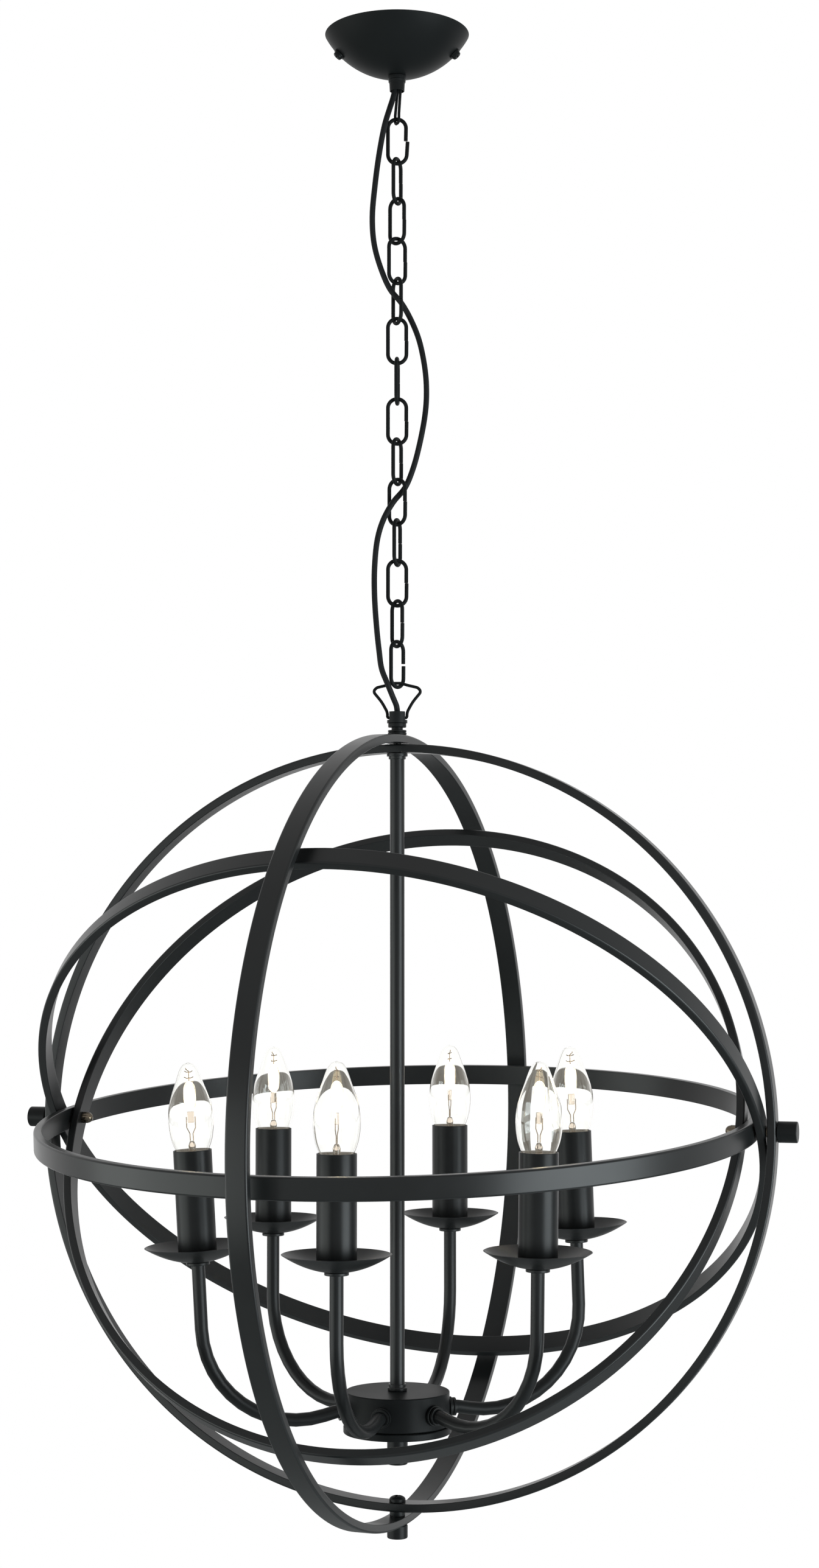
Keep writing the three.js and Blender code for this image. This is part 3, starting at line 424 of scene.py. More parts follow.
def shade(piece):
    """Smooth shading that keeps flat faces flat"""
    activate(piece)
    bpy.ops.object.shade_smooth_by_angle(angle=SMOOTH_ANGLE)
    modifier = piece.modifiers.new("Flat faces", "WEIGHTED_NORMAL")
    modifier.keep_sharp = True
    bpy.ops.object.modifier_apply(modifier=modifier.name)


def fit(piece, body, material, *nodes, slot=PAINT_SLOT):
    """Finish a piece: shading, material, the body it rides on and the CAD nodes it stands for"""
    shade(piece)
    piece.data.materials.clear()
    piece.data.materials.append(MATERIALS[material])
    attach(piece, body)
    if nodes:
        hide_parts(*nodes)
    return piece


def arc(centre, radius, start, end, steps):
    """Points of an arc in a profile's plane, between two angles in degrees"""
    points = []
    for i in range(steps + 1):
        at = math.radians(start + (end - start) * i / steps)
        points.append((centre[0] + radius * math.cos(at), centre[1] + radius * math.sin(at)))
    return points


def turn_z(radians):
    return Matrix.Rotation(radians, 4, "Z")


def turn_x(radians):
    return Matrix.Rotation(radians, 4, "X")


def turn_y(radians):
    return Matrix.Rotation(radians, 4, "Y")


def up(height):
    return Matrix.Translation((0, 0, height))


def along(x, y, z):
    return Matrix.Translation((x, y, z))


# Materials


def new_group(name, inputs, outputs):
    """An empty shader node group with named float inputs and outputs"""
    group = bpy.data.node_groups.new(name, "ShaderNodeTree")
    for socket, value in inputs:
        made = group.interface.new_socket(name=socket, in_out="INPUT", socket_type="NodeSocketFloat")
        made.default_value = value
    for socket in outputs:
        group.interface.new_socket(name=socket, in_out="OUTPUT", socket_type="NodeSocketFloat")
    entry = group.nodes.new("NodeGroupInput")
    result = group.nodes.new("NodeGroupOutput")
    return group, entry, result


def add_node(nodes, kind, **values):
    """A shader node with some of its inputs set"""
    node = nodes.new(kind)
    for socket, value in values.items():
        node.inputs[socket.replace("_", " ")].default_value = value
    return node


def feed(links, value, socket):
    """Give an input its value, which is a number, a colour or another node's socket"""
    if isinstance(value, bpy.types.NodeSocket):
        links.new(value, socket)
    elif isinstance(value, tuple):
        socket.default_value = (*value, 1)
    else:
        socket.default_value = value


def noise(nodes, links, scale, **values):
    """Noise in the object's own coordinates"""
    texture = add_node(nodes, "ShaderNodeTexNoise", **values)
    links.new(nodes.new("ShaderNodeTexCoord").outputs["Object"], texture.inputs["Vector"])
    feed(links, scale, texture.inputs["Scale"])
    return texture.outputs["Fac"]


def calculated(nodes, links, operation, first, second):
    node = nodes.new("ShaderNodeMath")
    node.operation = operation
    feed(links, first, node.inputs[0])
    feed(links, second, node.inputs[1])
    return node.outputs[0]


def ranged(nodes, links, value, low, high, out_low=0.0, out_high=1.0):
    node = add_node(nodes, "ShaderNodeMapRange", From_Min=low, To_Min=out_low, To_Max=out_high)
    feed(links, high, node.inputs["From Max"])
    links.new(value, node.inputs["Value"])
    return node.outputs["Result"]


def coat_group():
    """Sprayed coat: fine orange peel, and a slow drift in tone over the surface"""
    group, entry, result = new_group(
        "Sprayed Coat", [("Peel Scale", 900), ("Drift Scale", 14)], ["Peel", "Drift"]
    )
    nodes, links = group.nodes, group.links
    peel = noise(nodes, links, entry.outputs["Peel Scale"], Detail=2, Roughness=0.45)
    links.new(peel, result.inputs["Peel"])
    links.new(noise(nodes, links, entry.outputs["Drift Scale"], Detail=3), result.inputs["Drift"])


def edge_wear_and_highlight_group():
    """Sharp edges painted lighter: partly a thinner, rubbed coat, partly a painted highlight along them"""
    group, entry, result = new_group("Worn Edges And Painted Highlight", [("Reach", 0.06), ("Breakup Scale", 160)], ["Edge"])
    nodes, links = group.nodes, group.links
    reach = calculated(nodes, links, "ADD", entry.outputs["Reach"], 0.5)
    sharp = ranged(nodes, links, nodes.new("ShaderNodeNewGeometry").outputs["Pointiness"], 0.5, reach)
    breakup = noise(nodes, links, entry.outputs["Breakup Scale"])
    links.new(calculated(nodes, links, "MULTIPLY", sharp, breakup), result.inputs["Edge"])


def dust_group():
    """Faint dust that settles on what faces up"""
    group, entry, result = new_group("Settled Dust", [("Patch Scale", 30)], ["Dust"])
    nodes, links = group.nodes, group.links
    split = nodes.new("ShaderNodeSeparateXYZ")
    links.new(nodes.new("ShaderNodeNewGeometry").outputs["Normal"], split.inputs["Vector"])
    upward = ranged(nodes, links, split.outputs["Z"], 0.55, 1.0)
    patches = noise(nodes, links, entry.outputs["Patch Scale"], Detail=6)
    links.new(calculated(nodes, links, "MULTIPLY", upward, patches), result.inputs["Dust"])


def new_material(name):
    material = bpy.data.materials.new(name)
    material.use_nodes = True
    tree = material.node_tree
    return material, tree.nodes, tree.links, tree.nodes["Principled BSDF"]


def group_node(nodes, name, **values):
    node = nodes.new("ShaderNodeGroup")
    node.node_tree = bpy.data.node_groups[name]
    for socket, value in values.items():
        node.inputs[socket.replace("_", " ")].default_value = value
    return node


def mix_colour(nodes, links, mask, below, above):
    """Colour between two others by a mask; each side is a colour or a socket"""
    mix = nodes.new("ShaderNodeMix")
    mix.data_type = "RGBA"
    links.new(mask, mix.inputs["Factor"])
    feed(links, below, mix.inputs[6])
    feed(links, above, mix.inputs[7])
    return mix.outputs[2]


def bumped(nodes, links, height, strength, distance, shader):
    bump = nodes.new("ShaderNodeBump")
    bump.inputs["Strength"].default_value = strength
    bump.inputs["Distance"].default_value = distance
    links.new(height, bump.inputs["Height"])
    links.new(bump.outputs["Normal"], shader.inputs["Normal"])


def painted(name, drift_scale=14.0, roughness=0.34, gloss=0.08, bump=0.000008, edge=0.1, dust=0.15):
    """Satin black powder coat, its sharp edges painted lighter as worn coat and painted highlight"""
    finish = finishes()
    material, nodes, links, shader = new_material(name)
    coat = group_node(nodes, "Sprayed Coat", Drift_Scale=drift_scale)
    edges = group_node(nodes, "Worn Edges And Painted Highlight")
    dusty = group_node(nodes, "Settled Dust")
    drift = ranged(nodes, links, coat.outputs["Drift"], 0.35, 0.65)
    tone = mix_colour(nodes, links, drift, tuple(finish.paint), tuple(finish.paint_light))
    # Sharp edges are painted lighter: partly a thinner, rubbed coat, partly a painted highlight
    edge_wear_and_highlight_mask = ranged(nodes, links, edges.outputs["Edge"], 0.0, 1.0, 0.0, edge)
    tone = mix_colour(nodes, links, edge_wear_and_highlight_mask, tone, WORN_EDGE_HIGHLIGHT_TONE)
    dust_mask = ranged(nodes, links, dusty.outputs["Dust"], 0.35, 0.9, 0.0, dust)
    tone = mix_colour(nodes, links, dust_mask, tone, DUST_TONE)
    links.new(tone, shader.inputs["Base Color"])
    rough = ranged(nodes, links, coat.outputs["Drift"], 0.3, 0.7, roughness - 0.03, roughness + 0.05)
    links.new(rough, shader.inputs["Roughness"])
    shader.inputs["Specular IOR Level"].default_value = gloss
    bumped(nodes, links, coat.outputs["Peel"], 0.35, bump, shader)
    return material


def cable_material():
    """Smooth black cable jacket"""
    finish = finishes()
    material, nodes, links, shader = new_material("Cable Jacket")
    coat = group_node(nodes, "Sprayed Coat", Peel_Scale=1600, Drift_Scale=40)
    drift = ranged(nodes, links, coat.outputs["Drift"], 0.3, 0.7)
    light = tuple(channel * 1.6 for channel in finish.cable)
    links.new(mix_colour(nodes, links, drift, tuple(finish.cable), light), shader.inputs["Base Color"])
    links.new(ranged(nodes, links, coat.outputs["Drift"], 0.3, 0.7, 0.42, 0.5), shader.inputs["Roughness"])
    bumped(nodes, links, coat.outputs["Peel"], 0.2, 0.000002, shader)
    shader.inputs["Specular IOR Level"].default_value = 0.06
    return material


def metal_material(name, base, roughness, brushing=0.0):
    """Bare or plated metal with fine marks"""
    material, nodes, links, shader = new_material(name)
    coat = group_node(nodes, "Sprayed Coat", Peel_Scale=1400, Drift_Scale=60)
    drift = ranged(nodes, links, coat.outputs["Drift"], 0.3, 0.7)
    dull = tuple(channel * 0.7 for channel in base)
    links.new(mix_colour(nodes, links, drift, tuple(base), dull), shader.inputs["Base Color"])
    links.new(
        ranged(nodes, links, coat.outputs["Peel"], 0.3, 0.7, roughness - 0.06, roughness + 0.08),
        shader.inputs["Roughness"],
    )
    shader.inputs["Metallic"].default_value = 1.0
    bumped(nodes, links, coat.outputs["Peel"], 0.3, 0.00002, shader)
    return material


def glass_material(name, tint=(0.972, 0.98, 0.975), roughness=0.0, painted_glow=0.0):
    """Clear glass, with a faint painted glow standing in for the light of the filament inside it"""
    material, nodes, links, shader = new_material(name)
    coat = group_node(nodes, "Sprayed Coat", Peel_Scale=60, Drift_Scale=40)
    shader.inputs["Base Color"].default_value = (*tint, 1)
    shader.inputs["Roughness"].default_value = roughness
    shader.inputs["IOR"].default_value = GLASS_IOR
    shader.inputs["Transmission Weight"].default_value = 1.0
    # The glass itself is painted with a faint glow, standing in for the filament's light in it
    shader.inputs["Emission Color"].default_value = GLASS_GLOW_TONE
    shader.inputs["Emission Strength"].default_value = painted_glow
    bumped(nodes, links, coat.outputs["Drift"], 0.04, 0.00003, shader)
    return material


def glow_material():
    """Glowing filament of a bulb"""
    finish = finishes()
    material, nodes, links, shader = new_material("Glowing Filament")
    shader.inputs["Base Color"].default_value = (1, 0.93, 0.82, 1)
    shader.inputs["Roughness"].default_value = 0.4
    pale = tuple(min(1.0, channel * 1.12) for channel in finish.glow)
    tone = mix_colour(nodes, links, noise(nodes, links, 180), tuple(finish.glow), pale)
    links.new(tone, shader.inputs["Emission Color"])
    shader.inputs["Emission Strength"].default_value = finish.glow_strength
    return material


def make_materials():
    coat_group()
    edge_wear_and_highlight_group()
    dust_group()
    finish = finishes()
    return {
        "ring": painted("Ring Coat", roughness=0.31, gloss=0.21),
        "rose": painted("Rose Coat", drift_scale=9, roughness=0.42, gloss=0.05),
        "sleeve": painted("Sleeve Coat", drift_scale=20, roughness=0.34, gloss=0.15),
        "arm": painted("Arm Coat", drift_scale=24, roughness=0.34, gloss=0.15, edge=0.05),
        "chain": painted(
            "Chain Coat", drift_scale=30, roughness=0.45, gloss=0.05, bump=0.000002, edge=0, dust=0.1
        ),
        "fitting": painted(
            "Fitting Coat", drift_scale=40, roughness=0.36, gloss=0.09, bump=0.000004, edge=0.05
        ),
        "cable": cable_material(),
        "brass": metal_material("Dark Brass", tuple(finish.brass), 0.24),
        "zinc": metal_material("Zinc Plate", tuple(finish.zinc), 0.42),
        "wire": metal_material("Bulb Wire", (0.24, 0.17, 0.11), 0.3),
        "glass": glass_material("Bulb Glass", painted_glow=0.03),
        "stem_glass": glass_material("Stem Glass", (0.86, 0.74, 0.62), 0.03),
        "capsule_glass": glass_material("Capsule Glass", (1.0, 0.86, 0.66), 0.02, 0.3),
        "glow": glow_material(),
    }


# Operators


class CHANDELIER_OT_materials(bpy.types.Operator):
    """Make the chandelier's finishes"""

    bl_idname = "chandelier.add_materials"
    bl_label = "Make finishes"

    def execute(self, context):
        MATERIALS.update(make_materials())
        context.scene.view_settings.view_transform = "Standard"
        return {"FINISHED"}


class CHANDELIER_OT_camera(bpy.types.Operator):
    """Set up the camera at the photograph's angle"""

    bl_idname = "chandelier.add_camera"
    bl_label = "Add camera"

    def execute(self, context):
        deselect_all()
        bpy.ops.object.camera_add(
            location=(0.5916, -1.9258, -0.7245),
            rotation=(math.radians(93.505), math.radians(0.03), math.radians(16.804)),
        )
        camera = context.object
        camera.name = "Camera"
        camera.data.sensor_width = 36
        camera.data.lens = 58.882
        camera.data.clip_start = 0.05
        camera.data.clip_end = 100
        context.scene.camera = camera
        return {"FINISHED"}


def smooth_line(route, steps):
    """Closely spaced points on a smooth curve through a route's points"""
    ends = [2 * route[0] - route[1], *route, 2 * route[-1] - route[-2]]
    points = []
    for before, start, end, after in zip(ends, ends[1:], ends[2:], ends[3:]):
        pairs = ((before, start), (start, end), (end, after))
        first, span, last = [math.sqrt((b - a).length) for a, b in pairs]
        leave = (start - before) / first - (end - before) / (first + span) + (end - start) / span
        reach = (end - start) / span - (after - start) / (span + last) + (after - end) / last
        for i in range(steps):
            t = i / steps
            points.append(
                start * (2 * t**3 - 3 * t**2 + 1)
                + leave * span * (t**3 - 2 * t**2 + t)
                + end * (3 * t**2 - 2 * t**3)
                + reach * span * (t**3 - t**2)
            )
    points.append(route[-1].copy())
    return points


class CHANDELIER_OT_cable(bpy.types.Operator):
    """Model the power cable as one round cord, parted at the links so that it follows the chain"""

    bl_idname = "chandelier.add_cable"
    bl_label = "Add power cable"

    def execute(self, context):
        sizes = hanger_sizes()
        turn = turn_z(sizes.chain_turn)
        route = smooth_line([turn @ Vector(point) for point in CABLE_ROUTE], ROUTE_STEPS)
        curve = bpy.data.curves.new("Cable line", "CURVE")
        curve.dimensions = "3D"
        curve.bevel_depth = sizes.cable_diameter / 2
        curve.bevel_resolution = 4
        spline = curve.splines.new("POLY")
        spline.points.add(len(route) - 1)
        for knot, point in zip(spline.points, route):
            knot.co = (*point, 1)
        whole = bpy.data.objects.new("Cable line", curve)
        context.scene.collection.objects.link(whole)
        activate(whole)
        bpy.ops.object.convert(target="MESH")
        whole = context.object
        sides = len(whole.data.vertices) // len(route)
        heights = [middle_of(link_name(i)).z for i in range(LINK_COUNT)]
        cuts = [0]
        for height in heights:
            cuts.append(min(range(len(route)), key=lambda i: abs(route[i].z - height)))
        cuts.append(len(route) - 1)
        for index, (first, last) in enumerate(zip(cuts, cuts[1:])):
            part = copied(whole, "power_cable_%02d" % (index + 1), Matrix.Identity(4))
            for vertex in part.data.vertices:
                vertex.select = not first * sides <= vertex.index < (last + 1) * sides
            bpy.ops.object.mode_set(mode="EDIT")
            bpy.ops.mesh.select_mode(type="VERT")
            bpy.ops.mesh.delete(type="VERT")
            bpy.ops.mesh.select_all(action="SELECT")
            bpy.ops.mesh.fill_holes(sides=0)
            close_up()
            shade(part)
            part.data.materials.append(MATERIALS["cable"])
            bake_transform(part)
            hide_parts("power_cable")
        bpy.data.objects.remove(whole)
        return {"FINISHED"}


def band(name, radius):
    """A ring's band about Y: a section with rounded corners, spun all the way round"""
    sizes = orb_sizes()
    middle = radius - sizes.band_thickness / 2
    deselect_all()
    bpy.ops.mesh.primitive_plane_add(size=1, location=(middle, 0, 0))
    bpy.context.object.scale = (sizes.band_thickness, sizes.band_width, 1)
    piece = named(name)
    for outside, edge, segments in ((True, sizes.outer_edge, 5), (False, sizes.inner_edge, 3)):
        corners = sorted(piece.data.vertices, key=lambda v: -v.co.x if outside else v.co.x)[:2]
        chosen = {vertex.index for vertex in corners}
        for vertex in piece.data.vertices:
            vertex.select = vertex.index in chosen
        for part in (*piece.data.edges, *piece.data.polygons):
            part.select = False
        bpy.ops.object.mode_set(mode="EDIT")
        bpy.ops.mesh.select_mode(type="VERT")
        bpy.ops.mesh.bevel(affect="VERTICES", offset=edge, segments=segments)
        bpy.ops.object.mode_set(mode="OBJECT")
    bpy.ops.object.mode_set(mode="EDIT")
    bpy.ops.mesh.select_all(action="SELECT")
    bpy.ops.mesh.delete(type="ONLY_FACE")
    bpy.ops.mesh.select_all(action="SELECT")
    bpy.ops.mesh.spin(steps=RING_STEPS, angle=math.tau, center=(0, 0, 0), axis=(0, 1, 0))
    close_up()
    return piece


class CHANDELIER_OT_rings(bpy.types.Operator):
    """Model the five rings from a rounded band section spun round, with their holes"""

    bl_idname = "chandelier.add_rings"
    bl_label = "Add rings"

    def execute(self, context):
        sizes = orb_sizes()
        outer = sizes.diameter / 2
        frame_radius = outer - sizes.band_thickness - sizes.outer_gap
        step = sizes.band_thickness + sizes.ring_gap
        centre = up(ORB_CENTRE)
        pin_hole = sizes.pin_diameter / 2 + CLEARANCE
        rod_hole = sizes.rod_diameter / 2 + CLEARANCE
        drop = sizes.outer_gap - sizes.top_gap
        upright = math.pi / 2
        turning = up(ORB_CENTRE - drop) @ turn_z(upright + sizes.turning_turn)
        rings = [("turning_ring", "turning_ring", outer, turning), ("frame_ring", ORB_BODY, frame_radius, centre)]
        tilts = (("large", sizes.large_tilt), ("middle", sizes.middle_tilt), ("small", sizes.small_tilt))
        for i, (name, tilt) in enumerate(tilts, 1):
            tilted = centre @ turn_x(upright + tilt)
            rings.append((name + "_tilting_ring", name + "_ring", frame_radius - i * step, tilted))
        for node, body, radius, matrix in rings:
            ring = band(node + "_band", radius)
            reach = radius + sizes.band_width
            if node != "turning_ring":
                combine(ring, rod("hole", pin_hole, (-reach, 0, 0), (reach, 0, 0)), "DIFFERENCE")
            if node in ("turning_ring", "frame_ring"):
                combine(ring, rod("hole", rod_hole, (0, 0, -reach), (0, 0, reach)), "DIFFERENCE")
            place(ring, matrix)
            fit(ring, body, "ring", node)
        return {"FINISHED"}


class CHANDELIER_OT_pins(bpy.types.Operator):
    """Model the side pins with their knobs, washers and cap nuts, and the screw and knob at the bottom"""

    bl_idname = "chandelier.add_pins"
    bl_label = "Add pins and screw"

    def execute(self, context):
        sizes = orb_sizes()
        frame_radius = sizes.diameter / 2 - sizes.band_thickness - sizes.outer_gap
        step = sizes.band_thickness + sizes.ring_gap
        shaft = sizes.pin_diameter / 2
        knob = sizes.knob_diameter / 2
        nut = sizes.nut_diameter / 2
        knob_start = frame_radius + CLEARANCE
        knob_end = knob_start + sizes.knob_length
        inner = frame_radius - 3 * step - sizes.band_thickness
        nut_top = inner - CLEARANCE
        body = nut_top - sizes.nut_length / 2
        pin = turned(
            "pin",
            [
                (0, body), (shaft, body), (shaft, knob_start), (knob, knob_start), (knob, knob_end),
                (0, knob_end),
            ],
        )
        soften(pin, 0.0008, 3)
        washers = []
        for i in range(1, 4):
            base = frame_radius - i * step + CLEARANCE
            top = base + sizes.ring_gap - 2 * CLEARANCE
            rim = sizes.washer_diameter / 2
            bore = shaft + 0.0001
            section = [(bore, base), (rim, base), (rim, top), (bore, top), (bore, base)]
            washer = turned("washer", section, SMALL_TURN_STEPS)
            soften(washer, 0.0001, 1)
            washers.append(washer)
        dome = arc((0, body), nut * 0.94, 0, -90, 8)
        cap = turned("cap nut", [(0, nut_top), (nut, nut_top), (nut, body), *dome], SMALL_TURN_STEPS)
        soften(cap, 0.0002, 2)
        centre = up(ORB_CENTRE)
        for side, sign in (("right", 1), ("left", -1)):
            matrix = centre @ turn_y(sign * math.pi / 2)
            fit(copied(pin, "pin_%s_knob" % side, matrix), ORB_BODY, "fitting", "pin_" + side)
            fit(copied(cap, "pin_%s_cap_nut" % side, matrix), ORB_BODY, "brass")
            for i, washer in enumerate(washers):
                piece = copied(washer, "pin_%s_washer_%d" % (side, i + 1), matrix)
                fit(piece, ORB_BODY, "brass")
        for used in (pin, cap, *washers):
            bpy.data.objects.remove(used)
        self.bottom(sizes, frame_radius)
        return {"FINISHED"}

    def bottom(self, sizes, frame_radius):
        head = sizes.screw_head_diameter / 2
        screw = sizes.screw_diameter / 2
        spacer = sizes.spacer_diameter / 2
        low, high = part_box("bottom_screw")
        head_bottom = ORB_CENTRE - frame_radius + sizes.band_thickness + CLEARANCE
        head_top = high.z
        gap_top = ORB_CENTRE - frame_radius - CLEARANCE
        gap_bottom = bottom_of("turning_ring") + sizes.band_thickness + CLEARANCE
        edge = head_bottom + 0.0016
        crown = []
        for degrees in range(0, 91, 15):
            at = math.radians(degrees)
            crown.append((head * math.cos(at), edge + (head_top - head_bottom - 0.0016) * math.sin(at)))
        profile = [
            (0, low.z), (screw, low.z), (screw, gap_bottom), (spacer, gap_bottom),
            (spacer, gap_top), (screw, gap_top), (screw, head_bottom), (head, head_bottom),
            *crown,
        ]
        piece = turned("bottom_screw_body", profile, SMALL_TURN_STEPS)
        slot = block("slot", (-0.0009, -0.004, head_top - 0.0013), (0.0009, 0.004, head_top + 0.001))
        combine(piece, slot, "DIFFERENCE")
        cross = block("slot", (-0.004, -0.0009, head_top - 0.0013), (0.004, 0.0009, head_top + 0.001))
        combine(piece, cross, "DIFFERENCE")
        fit(piece, ORB_BODY, "fitting", "bottom_screw")
        knob_low, knob_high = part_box("bottom_knob")
        knob = sizes.bottom_knob_diameter / 2
        bore = screw + CLEARANCE
        profile = [
            (0, knob_low.z), (knob, knob_low.z), (knob, knob_high.z), (bore, knob_high.z),
            (bore, low.z - CLEARANCE), (0, low.z - CLEARANCE),
        ]
        piece = turned("bottom_knob_body", profile, SMALL_TURN_STEPS)
        soften(piece, 0.0008, 3)
        fit(piece, ORB_BODY, "fitting", "bottom_knob")


class CHANDELIER_OT_ceiling_rose(bpy.types.Operator):
    """Model the ceiling rose, its side screws, its collar and the wire loop"""

    bl_idname = "chandelier.add_ceiling_rose"
    bl_label = "Add ceiling rose"

    def execute(self, context):
        sizes = hanger_sizes()
        turn = turn_z(sizes.chain_turn)
        rim = sizes.rose_diameter / 2
        dome = (rim**2 + sizes.rose_depth**2) / (2 * sizes.rose_depth)
        centre = dome - sizes.rose_depth
        hole = 0.005 + CLEARANCE
        rim_angle = math.degrees(math.asin(-centre / dome))
        low_angle = -math.degrees(math.acos(hole / dome))
        outside = arc((0, centre), dome, low_angle, rim_angle, 40)
        inner = dome - sizes.rose_wall
        inner_rim = math.degrees(math.asin(-centre / inner))
        inner_low = -math.degrees(math.acos(hole / inner))
        inside = arc((0, centre), inner, inner_rim, inner_low, 32)
        rose = turned("canopy_dome", [*outside, *inside, outside[0]], 128)
        reach = dome + 0.003
        for sign in (1, -1):
            out = Vector((sign * math.sin(sizes.screw_angle), 0, -math.cos(sizes.screw_angle)))
            middle = Vector((0, 0, centre))
            combine(rose, rod("hole", 0.0023, middle + out * dome / 2, middle + out * reach), "DIFFERENCE")
        soften(rose, 0.0003, 2, math.radians(60))
        place(rose, turn)
        fit(rose, ROOT_BODY, "rose", "canopy")
        self.screws(sizes, turn, centre, dome)
        self.collar(sizes, turn)
        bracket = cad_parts["ceiling_bracket"]
        bracket.data.materials.clear()
        bracket.data.materials.append(MATERIALS["zinc"])
        return {"FINISHED"}

    def screws(self, sizes, turn, centre, dome):
        start = dome + CLEARANCE
        washer_top = start + 0.001
        head_top = washer_top + 0.0026
        tip = dome * 0.87
        profile = [
            (0, tip), (0.002, tip), (0.002, start), (0.0048, start), (0.0048, washer_top),
            (0.0037, washer_top), (0.0037, head_top - 0.0012), (0.0033, head_top - 0.0004),
            (0.0024, head_top), (0, head_top),
        ]
        screw = turned("side screw", profile, SMALL_TURN_STEPS)
        for low, high in (((-0.0005, -0.003), (0.0005, 0.003)), ((-0.003, -0.0005), (0.003, 0.0005))):
            slot = block("slot", (*low, head_top - 0.001), (*high, head_top + 0.001))
            combine(screw, slot, "DIFFERENCE")
        for side, sign in (("right", 1), ("left", -1)):
            matrix = turn @ up(centre) @ turn_y(math.pi - sign * sizes.screw_angle)
            piece = copied(screw, "canopy_screw_%s_body" % side, matrix)
            fit(piece, ROOT_BODY, "fitting", "canopy_screw_" + side)
        bpy.data.objects.remove(screw)

    def collar(self, sizes, turn):
        flange_top = -sizes.rose_depth - CLEARANCE
        flange_bottom = flange_top - 0.0048
        mouth = flange_bottom - 0.0072
        flange = sizes.collar_flange / 2
        body = sizes.collar_diameter / 2
        bore = 0.0053
        floor = mouth + 0.0052
        profile = [
            (0, floor), (bore, floor), (bore, mouth), (body * 0.98, mouth),
            (body * 1.04, flange_bottom - 0.0004), (body * 1.1, flange_bottom),
            (flange * 0.94, flange_bottom), (flange * 0.97, flange_bottom + 0.0016),
            (flange * 0.92, flange_bottom + 0.0019), (flange * 0.92, flange_bottom + 0.0023),
            (flange, flange_bottom + 0.0026), (flange, flange_top), (0.005, flange_top),
            (0.005, -0.0028), (0, -0.0028),
        ]
        collar = turned("canopy_collar_body", profile, TURN_STEPS)
        soften(collar, 0.00025, 2)
        wire = sizes.loop_wire / 2
        half = sizes.loop_width / 2
        bottom = bottom_of("canopy_collar")
        low = bottom + wire
        root = floor + wire
        spread = 0.0029
        offset = 0.0017
        points = [
            (offset, -spread, root), (offset, -spread, mouth + 0.001), (0, -half, low + half * 2),
            (0, -half, low), (0, half, low), (0, half, low + half * 2),
            (offset, spread, mouth + 0.001), (offset, spread, root),
        ]
        loop = bent("canopy_loop", points, wire, 0.0026)
        place(loop, turn @ turn_z(math.radians(25)))
        place(collar, turn)
        fit(collar, ROOT_BODY, "fitting", "canopy_collar")
        fit(loop, ROOT_BODY, "chain")


class CHANDELIER_OT_chain(bpy.types.Operator):
    """Model the chain's links from bent wire, each with its butt joint"""

    bl_idname = "chandelier.add_chain"
    bl_label = "Add chain"

    def execute(self, context):
        sizes = hanger_sizes()
        wire = sizes.link_wire / 2
        half_width = sizes.link_width / 2 - wire
        half_length = sizes.link_length / 2 - wire
        links = {}
        for kind, gap, spread in (
            ("closed", sizes.link_gap, 0.0002),
            ("first", sizes.open_gap / 2, sizes.open_spread),
            ("last", sizes.open_gap, 0.0002),
        ):
            corners = [
                (half_width - spread / 3, 0, gap / 2), (half_width, 0, half_length),
                (-half_width, 0, half_length), (-half_width, 0, -half_length),
                (half_width, 0, -half_length), (half_width + spread, 0, -gap / 2),
            ]
            links[kind] = bent("link", corners, wire, half_width, 20)
            soften(links[kind], 0.0001, 1, math.radians(60))
        for index in range(LINK_COUNT):
            node = link_name(index)
            kind = {0: "first", LINK_COUNT - 1: "last"}.get(index, "closed")
            turn = sizes.chain_turn + math.radians(LINK_TURNS[index])
            matrix = up(middle_of(node).z) @ turn_z(turn)
            piece = copied(links[kind], node + "_wire", matrix)
            fit(piece, link_body(index), "chain", node)
        for link in links.values():
            bpy.data.objects.remove(link)
        return {"FINISHED"}


